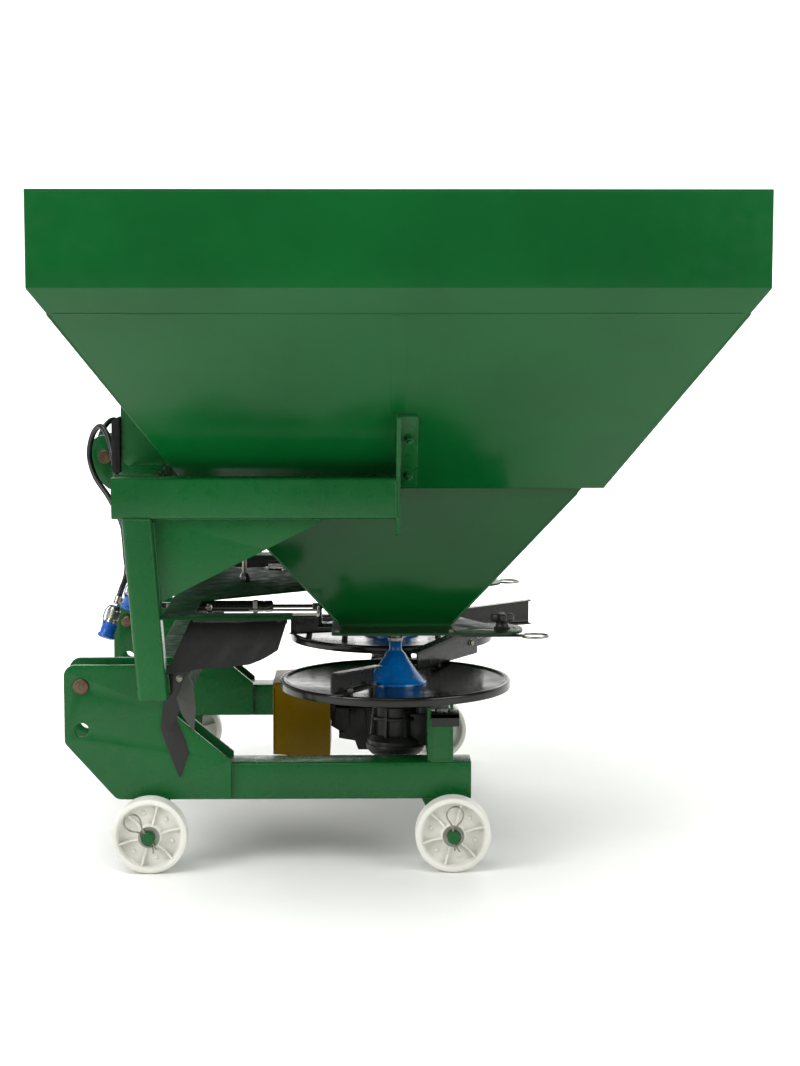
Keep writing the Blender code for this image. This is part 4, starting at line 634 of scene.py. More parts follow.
def make_funnel(name, side):
    copy_node(f"funnel_{name}", "green_funnel_shade", 0.0012)
    seams = []
    top, low = 0.744, 0.470
    for sx in (1, -1):
        for inner, outer in ((0.020, 0.225), (0.430, 0.345)):
            y0 = inner + (outer - inner) * (FUNNEL_TOP - top) / (FUNNEL_TOP - 0.462)
            y1 = inner + (outer - inner) * (FUNNEL_TOP - low) / (FUNNEL_TOP - 0.462)
            x0 = 0.3725 + (0.111 - 0.3725) * (FUNNEL_TOP - top) / (FUNNEL_TOP - 0.462)
            x1 = 0.3725 + (0.111 - 0.3725) * (FUNNEL_TOP - low) / (FUNNEL_TOP - 0.462)
            seams.append(bead((sx * (x0 - 0.001), side * y0, top),
                              (sx * (x1 - 0.001), side * y1, low), 0.0022))
    piece(f"funnel_seams_{name}", seams, "weld", "frame", smooth=70)
    collar = [(-0.1075, -0.0560), (0.1075, -0.0560), (0.1075, 0.0560), (-0.1075, 0.0560)]
    outer = [(x * 1.048, y * 1.10) for x, y in collar]
    place = Matrix.Translation((0, side * 0.285, 0))
    points, faces = slab(outer, 0.4622, 0.4690, place)
    hole_points, hole_faces = slab(collar, 0.4622, 0.4690, place)
    walls = [f for f in faces[:4]] + [[8 + i for i in f] for f in hole_faces[:4]]
    for level in (0, 4):
        for i in range(4):
            k = (i + 1) % 4
            walls.append([level + i, level + k, 8 + level + k, 8 + level + i])
    piece(f"funnel_collar_{name}", [(points + hole_points, walls)], "green_funnel_shade", "frame", bevel=0.0008)


# ---------------------------------------------------------------- outlets, shutters and cylinders


def make_outlet(name, side):
    copy_node(f"outlet_plate_{name}", "green_plate", 0.0006)
    marks = []
    for i in range(11):
        angle = math.radians(-38 + 8.4 * i)
        start = Vector((0.203 + 0.044 * math.cos(angle), side * (0.372 + 0.044 * math.sin(angle)), 0.46175))
        way = Vector((math.cos(angle), side * math.sin(angle), 0))
        across = Vector((-way.y, way.x, 0)) * 0.0005
        tall = 0.0085 if i % 5 == 0 else 0.0055
        corners = [start - across, start + across, start + across - way * tall, start - across - way * tall]
        top = [c + Z * 0.0004 for c in corners]
        marks.append((corners + top, [[0, 1, 2, 3], [4, 5, 6, 7], [0, 1, 5, 4], [1, 2, 6, 5],
                                      [2, 3, 7, 6], [3, 0, 4, 7]]))
    piece(f"rate_marks_{name}", marks, "mark", "frame")
    bolts = []
    for x, y in ((-0.118, 0.210), (-0.118, 0.420), (0.118, 0.210), (0.110, 0.420)):
        bolts += bolt((x, side * y, 0.4617), Z, 0.006)
    piece(f"outlet_bolts_{name}", bolts, "zinc", "frame")
    base, centre = 0.4621, Vector((0.2166, side * 0.372, 0))
    outline = []
    for i in range(96):
        angle = math.tau * i / 96
        reach = 0.0236 * (0.83 + 0.17 * math.cos(4 * angle))
        outline.append((reach * math.cos(angle), reach * math.sin(angle)))
    rows, faces = [], []
    layers = [(0.80, 0.0140), (0.93, 0.0150), (1.0, 0.0180), (1.0, 0.0255), (0.94, 0.0290),
              (0.78, 0.0306), (0.45, 0.0296)]
    for scale, z in layers:
        rows += [(centre.x + u * scale, centre.y + v * scale, base + z) for u, v in outline]
    for k in range(len(layers) - 1):
        for i in range(96):
            m = (i + 1) % 96
            faces.append([k * 96 + i, k * 96 + m, (k + 1) * 96 + m, (k + 1) * 96 + i])
    faces += [list(range(96)), list(range((len(layers) - 1) * 96, len(layers) * 96))]
    neck = turned([(0, 0), (0.0165, 0), (0.0168, 0.002), (0.0135, 0.005), (0.0122, 0.010),
                   (0.0140, 0.015), (0, 0.015)],
                  (centre.x, centre.y, base), Z, 40)
    stud = turned([(0, -0.0154), (0.0034, -0.0154), (0.0040, -0.0140), (0.0040, 0.001), (0, 0.001)],
                  (centre.x, centre.y, base), Z, 20)
    knob = piece(f"clamp_knob_{name}", [(rows, faces), neck], "cast", f"knob_{name}", smooth=50)
    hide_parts(f"knob_{name}")
    metal = [stud, turned([(0, 0.0285), (0.0065, 0.0285), (0.0065, 0.0302), (0.0050, 0.0308), (0, 0.0308)],
                          (centre.x, centre.y, base), Z, 6)]
    piece(f"clamp_stud_{name}", metal, "zinc", f"knob_{name}")


def make_shutter(name, side):
    copy_node(f"shutter_{name}", "black", 0.0005)
    body = f"shutter_{name}"
    ring_centre = Vector((0.2795, side * 0.420, 0.4536))
    loop = [ring_centre + 0.0265 * Vector((math.cos(a), math.sin(a),
                                           0)) for a in [math.tau * i / 48 for i in range(49)]]
    piece(f"handle_ring_wire_{name}", [swept(loop, 0.0026, 12)], "zinc", body, smooth=60)
    rod_y = side * ROD_Y
    parts = [
        turned([(0, 0), (0.0064, 0), (0.0070, 0.0007), (0.0070, 0.0095), (0.0062, 0.0111), (0, 0.0111)],
               (-0.1714, rod_y, ROD_Z), X, 6),
    ]
    parts += nut_end((-0.1520, rod_y, ROD_Z), X, 0.006)
    piece(f"rod_nuts_{name}", parts, "zinc", body)
    guides = [
        swept([(-0.300, side * 0.338, GUIDE_Z), (-0.160, side * 0.338, GUIDE_Z)], 0.0030, 12),
        swept([(-0.292, side * 0.402, GUIDE_Z), (-0.160, side * 0.402, GUIDE_Z)], 0.0030, 12),
        swept([(-0.158, side * 0.262, GUIDE_Z), (-0.158, side * 0.410, GUIDE_Z)], 0.0034, 12),
    ]
    piece(f"guide_rods_{name}", guides, "steel", body, smooth=60)
    peg = [swept([(-0.296, side * 0.402, 0.4925), (-0.298, side * 0.402, 0.480),
                  (-0.303, side * 0.402, 0.462)], 0.0024, 10)]
    piece(f"guide_peg_{name}", peg, "nylon", body, smooth=60)


def make_cylinder(name, side):
    start = (-0.440, side * ROD_Y, ROD_Z)
    r = 0.012
    shell = [(0.0085, 0.1848), (0.0112, 0.1850), (r, 0.1840), (r, 0.1700), (0.0110, 0.1690),
             (0.0110, 0.1665), (r, 0.1655), (r, 0.0215), (0.0110, 0.0205), (0.0110, 0.0185),
             (r, 0.0175), (r, 0.0070), (0.0100, 0.0030), (0.0085, 0.0002), (0, 0.0002)]
    tube = piece(f"cylinder_shell_{name}", [turned([(0, 0.1848), *shell], start, X, 56)],
                 "black", "frame", smooth=40)
    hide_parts(f"cylinder_{name}")
    fittings = [
        turned([(0.0045, 0), (0.0096, 0), (0.0096, 0.0018), (0.0088, 0.0024), (0.0045, 0.0024)],
               (-0.2552, side * ROD_Y, ROD_Z), X, 6, closed=True),
        turned([(0, 0), (0.0070, 0), (0.0070, 0.0065), (0.0052, 0.0075), (0.0052, 0.0120), (0, 0.0120)],
               (-0.385, side * 0.2812, ROD_Z), (0, side, 0), 6),
        turned([(0, 0.006), (0.0058, 0.006), (0.0058, 0.0135), (0.0044, 0.0150), (0, 0.0150)],
               (-0.385, side * ROD_Y, 0.487), -Z, 6),
    ]
    piece(f"cylinder_fittings_{name}", fittings, "steel", "frame")
    straps = []
    for x in (-0.418, -0.290):
        arc = [Vector((x, side * (ROD_Y + 0.0136 * math.cos(a)), ROD_Z + 0.0136 * math.sin(a)))
               for a in [math.pi * (1.0 + i / 14) for i in range(15)]]
        foot = [Vector((x, side * 0.2564, 0.5058)), *arc, Vector((x, side * 0.2836, 0.5058))]
        for i in range(3):
            straps.append(swept([p + X * (0.003 * (i - 1)) for p in foot], 0.0016, 8))
    piece(f"cylinder_straps_{name}", straps, "zinc", "frame", smooth=70)


# ---------------------------------------------------------------- discs, cones and vanes

DISC_Z, DISC_RADIUS = 0.342, 0.237


def make_disc(name, side):
    body, centre = f"rotor_{name}", (0, side * DISC_Y, 0)
    edge = 0.349
    profile = [(0.0102, DISC_Z), (0.080, DISC_Z), (0.100, DISC_Z + 0.0004),
               (0.110, DISC_Z + 0.0010), (0.219, edge - 0.0010), (0.223, edge + 0.0002),
               (0.226, edge + 0.0018), (0.229, edge + 0.0028), (0.2325, edge + 0.0030),
               (0.2352, edge + 0.0024), (0.2366, edge + 0.0010), (DISC_RADIUS, edge - 0.0010),
               (DISC_RADIUS, edge - 0.0125), (0.2364, edge - 0.0146), (0.2352, edge - 0.0150),
               (0.2340, edge - 0.0144), (0.2340, edge - 0.0030), (0.2315, edge - 0.0012),
               (0.2280, edge - 0.0014), (0.2230, edge - 0.0030), (0.2190, edge - 0.0040),
               (0.110, DISC_Z - 0.0022), (0.100, DISC_Z - 0.0030), (0.0102, DISC_Z - 0.0030)]
    plate = piece(f"disc_plate_{name}", [turned(profile, centre, Z, 120, closed=True)],
                  "black", body, smooth=50)
    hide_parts(f"disc_{name}")
    base = DISC_Z + 0.0003
    cone = [(0.0102, 0.429), (0.0120, 0.4290), (0.0130, 0.4280), (0.0130, 0.4110),
            (0.0142, 0.4085), (0.0200, 0.4030)]
    for i in range(1, 9):
        t = i / 9
        cone.append((0.0200 + 0.0385 * t, 0.4030 + (base + 0.0062 - 0.4030) * (t ** 0.88)))
    cone += [(0.0600, base + 0.0050), (0.0632, base + 0.0045), (0.0640, base + 0.0035),
             (0.0640, base), (0.0102, base)]
    boss = piece(f"cone_body_{name}", [turned(cone, centre, Z, 88, closed=True)], "blue", body, smooth=45)
    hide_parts(f"cone_{name}")
    parts = []
    for i in range(4):
        angle = math.radians(45 + 90 * i)
        spot = Vector((0.0465 * math.cos(angle), side * DISC_Y + 0.0465 * math.sin(angle), 0.3570))
        parts += bolt(spot, Z, 0.006, height=0.5)
    for i in range(6):
        angle = math.radians(30 + 60 * i)
        spot = Vector((0.030 * math.cos(angle), side * DISC_Y + 0.030 * math.sin(angle), DISC_Z - 0.0030))
        parts += bolt(spot, -Z, 0.006)
    piece(f"rotor_bolts_{name}", parts, "zinc", body)
    copy_node(f"disc_shaft_{name}", "steel", 0.0004, cut_angle=50)
    pin = turned([(0.0098, 0.4294), (0.0150, 0.4294), (0.0155, 0.4300), (0.0155, 0.4360),
                  (0.0148, 0.4368), (0.0098, 0.4368)],
                 centre, Z, 36, closed=True)
    piece(f"shaft_collar_{name}", [pin], "zinc", body)


def channel(width, height, way, sheet=0.003, bend=0.0045):
    """The outline of a folded channel: foot, web and top flange, with rounded folds."""
    line = [(width, 0.0)]
    for corner, start in (((bend, bend), 270), ((bend, height - bend), 180)):
        for k in range(5):
            angle = math.radians(start - 22.5 * k)
            line.append((corner[0] + bend * math.cos(angle), corner[1] + bend * math.sin(angle)))
    line.append((width, height))
    outer, inner = [], []
    for i, (u, v) in enumerate(line):
        a, b = line[max(i - 1, 0)], line[min(i + 1, len(line) - 1)]
        du, dv = b[0] - a[0], b[1] - a[1]
        size = math.hypot(du, dv)
        nu, nv = -dv / size * sheet / 2, du / size * sheet / 2
        outer.append((way * (u + nu), v + nv))
        inner.append((way * (u - nu), v - nv))
    return outer + inner[::-1]


def make_vane(node, side, tip, tip_height, angle, way):
    body = frame["nodes"][node]["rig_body"]
    place = Matrix.Translation((0, side * DISC_Y, 0.354)) @ Matrix.Rotation(angle, 4, "Z")
    start, first_height = 0.088, 0.036
    stations = [0.0, 0.03, 0.5, 0.93, 1.0]
    points, faces = [], []
    for t in stations:
        ease = {0.0: 0.004, 1.0: 0.006}.get(t, 0.0)
        height = first_height + (tip_height - first_height) * t
        outline = channel(0.0238 - ease, height, way)
        points += [place @ Vector((start + (tip - start) * t, v, w)) for v, w in outline]
    count = len(points) // len(stations)
    for k in range(len(stations) - 1):
        for i in range(count):
            m = (i + 1) % count
            faces.append([k * count + i, k * count + m, (k + 1) * count + m, (k + 1) * count + i])
    half = count // 2
    for base in (0, (len(stations) - 1) * count):
        for i in range(half - 1):
            faces.append([base + i, base + i + 1, base + count - 2 - i, base + count - 1 - i])
    blade = piece(f"{node}_blade", [(points, faces)], "vane", body, smooth=35)
    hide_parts(node)
    parts, spacers = [], []
    for radius in (start + 0.022, 0.197):
        spot = Vector((radius, way * 0.0125, 0.0016))
        parts += [([place @ p for p in pts], f) for pts, f in bolt(spot, Z, 0.0075)]
        low = -0.0110 if radius < 0.15 else -0.0075
        rod_points, rod_faces = turned([(0, low), (0.0070, low), (0.0070, -0.0016), (0, -0.0016)],
                                       (radius, way * 0.0125, 0), Z, 24)
        spacers.append(([place @ p for p in rod_points], rod_faces))
    for radius in (start + 0.030, (start + tip) / 2, tip - 0.030):
        height = first_height + (tip_height - first_height) * (radius - start) / (tip - start)
        spot = Vector((radius, way * -0.0015, height * 0.5))
        if radius < tip - 0.05 or tip < 0.3:
            continue
        parts += [([place @ p for p in pts], f) for pts, f in bolt(spot, (0, -way, 0), 0.007)]
    piece(f"{node}_bolts", parts, "zinc", body)
    piece(f"{node}_spacers", spacers, "vane", body)


# ---------------------------------------------------------------- wheels and axles


def make_wheel(place, name, side):
    x = -0.489 if place == "front" else 0.111
    half, web, rim, radius = 0.0225, 0.006, 0.0635, 0.075
    node = f"wheel_{place}_{name}"
    centre = Vector((x, side * 0.5275, 0.075))
    face = [(0.0132, half), (0.0200, half), (0.0215, half - 0.0008), (0.0228, half - 0.0030),
            (0.0245, web + 0.0015), (0.0270, web), (rim - 0.0060, web),
            (rim - 0.0035, web + 0.0015), (rim - 0.0005, half - 0.0025),
            (rim + 0.0012, half - 0.0004), (rim + 0.0030, half), (radius - 0.0045, half),
            (radius - 0.0016, half - 0.0012), (radius - 0.0003, half - 0.0040),
            (radius, half - 0.0075), (radius, 0.0012), (radius, 0.0)]
    profile = face + [(r, -h) for r, h in reversed(face[:-1])]
    parts = [turned(profile, centre, (0, side, 0), 96, closed=True)]
    for i in range(6):
        angle = math.radians(15 + 60 * i)
        way = Vector((math.cos(angle), 0, math.sin(angle)))
        across = Vector((-way.z, 0, way.x))
        for out in (1, -1):
            corners = []
            for r, top, thick in ((0.0210, half - 0.0020, 0.0026), (0.0400, half - 0.0100, 0.0021),
                                  (0.0625, half - 0.0030, 0.0024)):
                for h in (web - 0.001, top):
                    slim = thick if h < web else thick * 0.7
                    for s in (-1, 1):
                        corners.append(centre + way * r + across * (s * slim) + Y * (side * out * h))
            quads = []
            for k in (0, 4):
                quads += [[k, k + 4, k + 5, k + 1], [k + 2, k + 3, k + 7, k + 6], [k, k + 2, k + 6, k + 4],
                          [k + 1, k + 5, k + 7, k + 3]]
            quads += [[0, 1, 3, 2], [8, 10, 11, 9]]
            parts.append((corners, quads))
        angle += math.radians(30)
        spot = centre + 0.0455 * Vector((math.cos(angle), 0, math.sin(angle)))
        for out in (1, -1):
            parts.append(turned([(0, 0), (0.0044, 0), (0.0042, 0.0016), (0.0030, 0.0024), (0, 0.0026)],
                                spot + Y * (side * out * web), (0, side * out, 0), 20))
    wheel = piece(f"{node}_nylon", parts, "nylon", node, smooth=40)
    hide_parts(node)
    make_axle(place, name, side, x)


def make_axle(place, name, side, x):
    copy_node(f"axle_{place}_{name}", "green_frame", 0.0008)
    out = Vector((0, side, 0))
    face = Vector((x, side * 0.5504, 0.075))
    washer = [(0.0127, 0), (0.0212, 0), (0.0215, 0.0004), (0.0215, 0.0024),
              (0.0210, 0.0029), (0.0129, 0.0030)]
    piece(f"washer_{place}_{name}", [turned(washer, face, out, 56, closed=True)], "zinc", "frame")
    if place == "front":
        along = Vector((-0.58, 0, 0.815)).normalized()
    else:
        along = Vector((-0.10, 0, 0.995)).normalized()
    across = Vector((along.z, 0, -along.x)) * (-1 if place == "front" else 1)
    line = [(-0.027, 0.0), (-0.012, 0.0), (0.010, 0.0), (0.021, -0.0005), (0.030, -0.0040),
            (0.041, -0.0090), (0.052, -0.0075), (0.0595, 0.0010), (0.0605, 0.0115),
            (0.0540, 0.0205), (0.0430, 0.0235), (0.0320, 0.0190), (0.0235, 0.0105),
            (0.0180, 0.0082), (0.0120, 0.0112), (0.0050, 0.0148), (-0.0030, 0.0150),
            (-0.0100, 0.0118), (-0.0150, 0.0066), (-0.0195, 0.0046), (-0.0250, 0.0062),
            (-0.0300, 0.0100)]
    middle = Vector((x, side * 0.5610, 0.075))
    path = smooth_path([middle + along * u + across * v for u, v in line], 0.0022)
    piece(f"hairpin_{place}_{name}", [swept(path, 0.00175, 10)], "zinc", "frame", smooth=60)


for side_name, side_sign in SIDES.items():
    make_funnel(side_name, side_sign)
    make_outlet(side_name, side_sign)
    make_shutter(side_name, side_sign)
    make_cylinder(side_name, side_sign)
    make_disc(side_name, side_sign)
    turn_angle = math.radians(58 if side_name == "left" else 17)
    make_vane(f"long_vane_{side_name}", side_sign, 0.345, 0.056, turn_angle, -side_sign)
    make_vane(f"short_vane_{side_name}", side_sign, 0.245, 0.044, turn_angle + math.pi, -side_sign)
    for end in ("front", "rear"):
        make_wheel(end, side_name, side_sign)
make_hopper()

# ---------------------------------------------------------------- folded and cut sheet, tubes


def rounded(corners, radii):
    """The outline with its corners rounded off."""
    done = []
    for i, (corner, radius) in enumerate(zip(corners, radii)):
        here = Vector(corner)
        before, after = Vector(corners[i - 1]) - here, Vector(corners[(i + 1) % len(corners)]) - here
        if radius <= 0:
            done.append(tuple(here))
            continue
        before.normalize()
        after.normalize()
        half = before.angle(after) / 2
        reach = radius / math.tan(half)
        middle = here + (before + after).normalized() * (radius / math.sin(half))
        a, b = here + before * reach - middle, here + after * reach - middle
        for k in range(7):
            t = k / 6
            done.append(tuple(middle + (a * (1 - t) + b * t).normalized() * radius))
    return done


def circle(radius, centre, steps=40):
    return [(centre[0] + radius * math.cos(math.tau * i / steps),
             centre[1] + radius * math.sin(math.tau * i / steps))
            for i in range(steps)]


def plate(name, outlines, sheet, place, material, body="frame", edge=0.0010):
    """Cut sheet with softened edges: the first outline is the edge and the others are holes."""
    curve = bpy.data.curves.new(name, "CURVE")
    curve.dimensions = "2D"
    curve.fill_mode = "BOTH"
    curve.extrude = sheet / 2 - edge
    curve.bevel_depth = edge
    curve.bevel_resolution = 2
    curve.offset = -edge
    for outline in outlines:
        line = curve.splines.new("POLY")
        line.points.add(len(outline) - 1)
        for target, (u, v) in zip(line.points, outline):
            target.co = (u, v, 0, 1)
        line.use_cyclic_u = True
    holder = bpy.data.objects.new(name, curve)
    bpy.context.scene.collection.objects.link(holder)
    bpy.context.view_layer.update()
    mesh = bpy.data.meshes.new_from_object(holder.evaluated_get(bpy.context.evaluated_depsgraph_get()))
    bpy.data.objects.remove(holder)
    mesh.transform(place)
    shape = bmesh.new()
    shape.from_mesh(mesh)
    bmesh.ops.remove_doubles(shape, verts=shape.verts, dist=1e-6)
    bmesh.ops.recalc_face_normals(shape, faces=shape.faces)
    shape.to_mesh(mesh)
    shape.free()
    mesh.name = name
    return show(name, mesh, material, body, 32)


def upright(y):
    """Maps (x, z) outlines to an upright plane at y."""
    return Matrix(((1, 0, 0, 0), (0, 0, 1, y), (0, 1, 0, 0), (0, 0, 0, 1)))


def crosswise(x, side=1):
    """Maps (|y|, z) outlines to a plane across the machine."""
    return Matrix(((0, 0, 1, x), (side, 0, 0, 0), (0, 1, 0, 0), (0, 0, 0, 1)))


def tube(start, end, across, up, wall=0.004, corner=0.007, open_ends=True):
    """Square tube between two middles; across and up are its half sizes as vectors."""
    start, end, across, up = Vector(start), Vector(end), Vector(across), Vector(up)
    points, faces = [], []

    def ring(middle, inset, radius):
        u, v = across.length - inset, up.length - inset
        first = len(points)
        for su, sv, begin in ((1, 1, 0), (-1, 1, 90), (-1, -1, 180), (1, -1, 270)):
            for k in range(5):
                angle = math.radians(begin + 22.5 * k)
                a = su * (u - radius) + radius * math.cos(angle)
                b = sv * (v - radius) + radius * math.sin(angle)
                points.append(middle + across.normalized() * a + up.normalized() * b)
        return list(range(first, first + 20))

    rings = [ring(start, 0, corner), ring(end, 0, corner)]
    inner_corner = max(corner - wall, 0.001)
    if open_ends:
        rings = [ring(start, wall, inner_corner), rings[0], rings[1], ring(end, wall, inner_corner)]
    for a, b in zip(rings, rings[1:]):
        for i in range(20):
            k = (i + 1) % 20
            faces.append([a[i], a[k], b[k], b[i]])
    if open_ends:
        a, b = rings[-1], rings[0]
        for i in range(20):
            k = (i + 1) % 20
            faces.append([a[i], a[k], b[k], b[i]])
    else:
        faces += [rings[0], rings[-1]]
    return points, faces


# ---------------------------------------------------------------- frame

POST_INNER, POST_OUTER = 0.4906, 0.5506
BAR_FRONT, BAR_BOTTOM, BAR_TOP = -0.5545, 0.704, 0.784
SLOPE_RUN, SLOPE_OUT = (0.7255, 0.6885), (0.6885, -0.7255)


def post_x(z):
    return -0.479 - (z - 0.348) / 0.3557 * 0.0275


def make_post(name, side):
    y = side * (POST_INNER + POST_OUTER) / 2
    low, high = 0.348, 0.7037
    parts = [
        tube((post_x(low), y, low), (post_x(high), y, high), (0.029, 0, 0), (0, 0.030, 0),
             corner=0.008, open_ends=False),
    ]
    post = piece(f"post_tube_{name}", parts, "green_frame", "frame")
    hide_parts(f"post_{name}")
    outline = [(post_x(0.534) + 0.026, 0.534), (-0.4524, 0.543), (-0.2577, 0.641), (-0.1325, high - 0.0003),
               (post_x(high) + 0.026, high - 0.0003)]
    plate(f"gusset_{name}", [rounded(outline, (0, 0.006, 0.02, 0, 0))], 0.008, upright(y), "green_frame")
    face = side * (abs(y) + 0.0045)
    beads(f"gusset_welds_{name}", [
        ((post_x(0.540) + 0.0295, face, 0.540), (post_x(0.698) + 0.0295, face, 0.698)),
        ((-0.470, face, 0.7025), (-0.150, face, 0.7025)),
    ], radius=0.0028)
    outer = side * (POST_OUTER - 0.0012)
    beads(f"post_welds_{name}", [
        ((post_x(0.7037) - 0.027, outer, 0.7035), (post_x(0.7037) + 0.027, outer, 0.7035)),
        ((post_x(0.355) - 0.0285, side * 0.4915, 0.352), (post_x(0.405) - 0.0285, side * 0.4915, 0.405)),
        ((post_x(0.355) + 0.0285, side * 0.4915, 0.352), (post_x(0.405) + 0.0285, side * 0.4915, 0.405)),
        ((post_x(0.348) - 0.026, side * 0.4930, 0.3485), (post_x(0.348) + 0.026, side * 0.4930, 0.3485)),
    ], radius=0.0032)


def make_upper_bar(name, side):
    y = side * (POST_INNER + POST_OUTER) / 2
    middle = (BAR_BOTTOM + BAR_TOP) / 2
    bar = piece(
        f"upper_bar_tube_{name}",
        [tube((BAR_FRONT, y, middle), (-0.0022, y, middle), (0, 0.030, 0), (0, 0, 0.040),
              corner=0.007, open_ends=False)],
        "green_frame", "frame",
    )
    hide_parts(f"upper_bar_{name}")
    outline = [(0.4916, BAR_BOTTOM), (0.5206, 0.660), (0.5496, 0.705), (0.5496, 0.790), (0.6447, 0.910),
               (0.6229, 0.910), (0.4891, 0.784), (0.4916, 0.778)]
    plate(f"bracket_{name}", [rounded(outline, (0.004, 0.010, 0.006, 0.01, 0.006, 0, 0, 0))], 0.008,
          crosswise(0.002, side), "green_frame")
    run = Vector((0, side * SLOPE_RUN[0], SLOPE_RUN[1]))
    out = Vector((0, side * SLOPE_OUT[0], SLOPE_OUT[1]))
    foot = Vector((0, side * 0.4577, 0.762)) + out * 0.0033
    place = Matrix((
        (1, run.x, out.x, foot.x), (0, run.y, out.y, foot.y), (0, run.z, out.z, foot.z), (0, 0, 0, 1),
    ))
    plate(f"flange_{name}",
          [rounded([(0.001, 0), (0.040, 0), (0.040, 0.2164), (0.001, 0.2164)], (0, 0.006, 0.006, 0))],
          0.006, place, "green_frame")
    parts = []
    for z in (0.868, 0.790):
        along = (z - 0.762) / SLOPE_RUN[1]
        spot = foot + X * 0.0225 + run * along + out * 0.0031
        parts += nut_end(spot, out, 0.010)
    piece(f"bracket_bolts_{name}", parts, "weld", "frame")
    seam = [(Vector((0.0062, side * 0.4600, 0.764)) + out * 0.005,
             Vector((0.0062, side * 0.6147, 0.910)) + out * 0.005)]
    seam += [((-0.003, side * (POST_OUTER - 0.001), 0.708), (-0.003, side * (POST_OUTER - 0.001), 0.780))]
    beads(f"bracket_welds_{name}", seam, radius=0.0024)


def make_cross_bar():
    middle = (BAR_BOTTOM + BAR_TOP) / 2
    bar = piece(
        "upper_cross_bar_tube",
        [tube((BAR_FRONT + 0.040, -0.4902, middle), (BAR_FRONT + 0.040, 0.4902, middle), (0.040, 0, 0),
              (0, 0, 0.040), corner=0.007)],
        "green_frame", "frame",
    )
    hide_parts("upper_cross_bar")
    lug = [(-0.656, 0.8345), (-0.656, 0.7545), (-0.616, 0.718), (-0.5530, 0.718),
           (-0.5530, 0.778), (-0.5765, 0.8345)]
    outline = rounded(lug, (0.028, 0.024, 0.012, 0, 0, 0.012))
    support = [(-0.571, 0.930), (-0.571, 0.782), (-0.4785, 0.782), (-wall_x(0.814) - 0.002, 0.814),
               (-wall_x(0.930) - 0.002, 0.930)]
    seams = []
    for name, side in SIDES.items():
        plate(f"top_lug_{name}", [outline, circle(0.0128, (-0.6225, 0.7885))], 0.012,
              upright(side * 0.040), "green_frame")
        plate(f"hopper_support_{name}", [rounded(support, (0.004, 0.020, 0, 0, 0))], 0.008,
              upright(side * 0.205), "green_frame")
        seams += [((-0.5560, side * 0.0465, 0.722), (-0.5560, side * 0.0465, 0.775)),
                  ((-0.548, side * 0.2095, 0.7845), (-0.482, side * 0.2095, 0.7845))]
        pad = slab(rounded([(-0.590, 0.768), (-0.5722, 0.768), (-0.5722, 0.886), (-0.590, 0.876)],
                           (0.006, 0.002, 0.002, 0.008)),
                   0.191, 0.217, Matrix(((1, 0, 0, 0), (0, 0, side, 0), (0, 1, 0, 0), (0, 0, 0, 1))))
        piece(f"hose_pad_{name}", [pad], "pad", "frame", bevel=0.002)
        corner = [(-0.5560, side * 0.4895, 0.7845), (-0.4760, side * 0.4895, 0.7845)]
        seams.append((corner[0], corner[1]))
    beads("cross_bar_welds", seams, radius=0.0028)
    for node in ("top_link_pin", "lower_link_pin_left", "lower_link_pin_right"):
        copy_node(node, "worn", 0.0008)
    ring = []
    for centre, axis in (((-0.6225, -0.0522, 0.7885), -Y), ((-0.626, -0.4966, 0.3656), -Y),
                         ((-0.626, 0.4966, 0.3656), Y)):
        ring.append(turned([(0.0030, 0.0), (0.0052, 0.0), (0.0050, 0.0006), (0.0034, 0.0004)],
                           centre, axis, 28, closed=True))
        ring.append(turned([(0.0120, -0.0001), (0.0138, -0.0001), (0.0136, 0.0004), (0.0122, 0.0004)],
                           centre, axis, 40, closed=True))
    piece("pin_faces", ring, "worn", "frame")


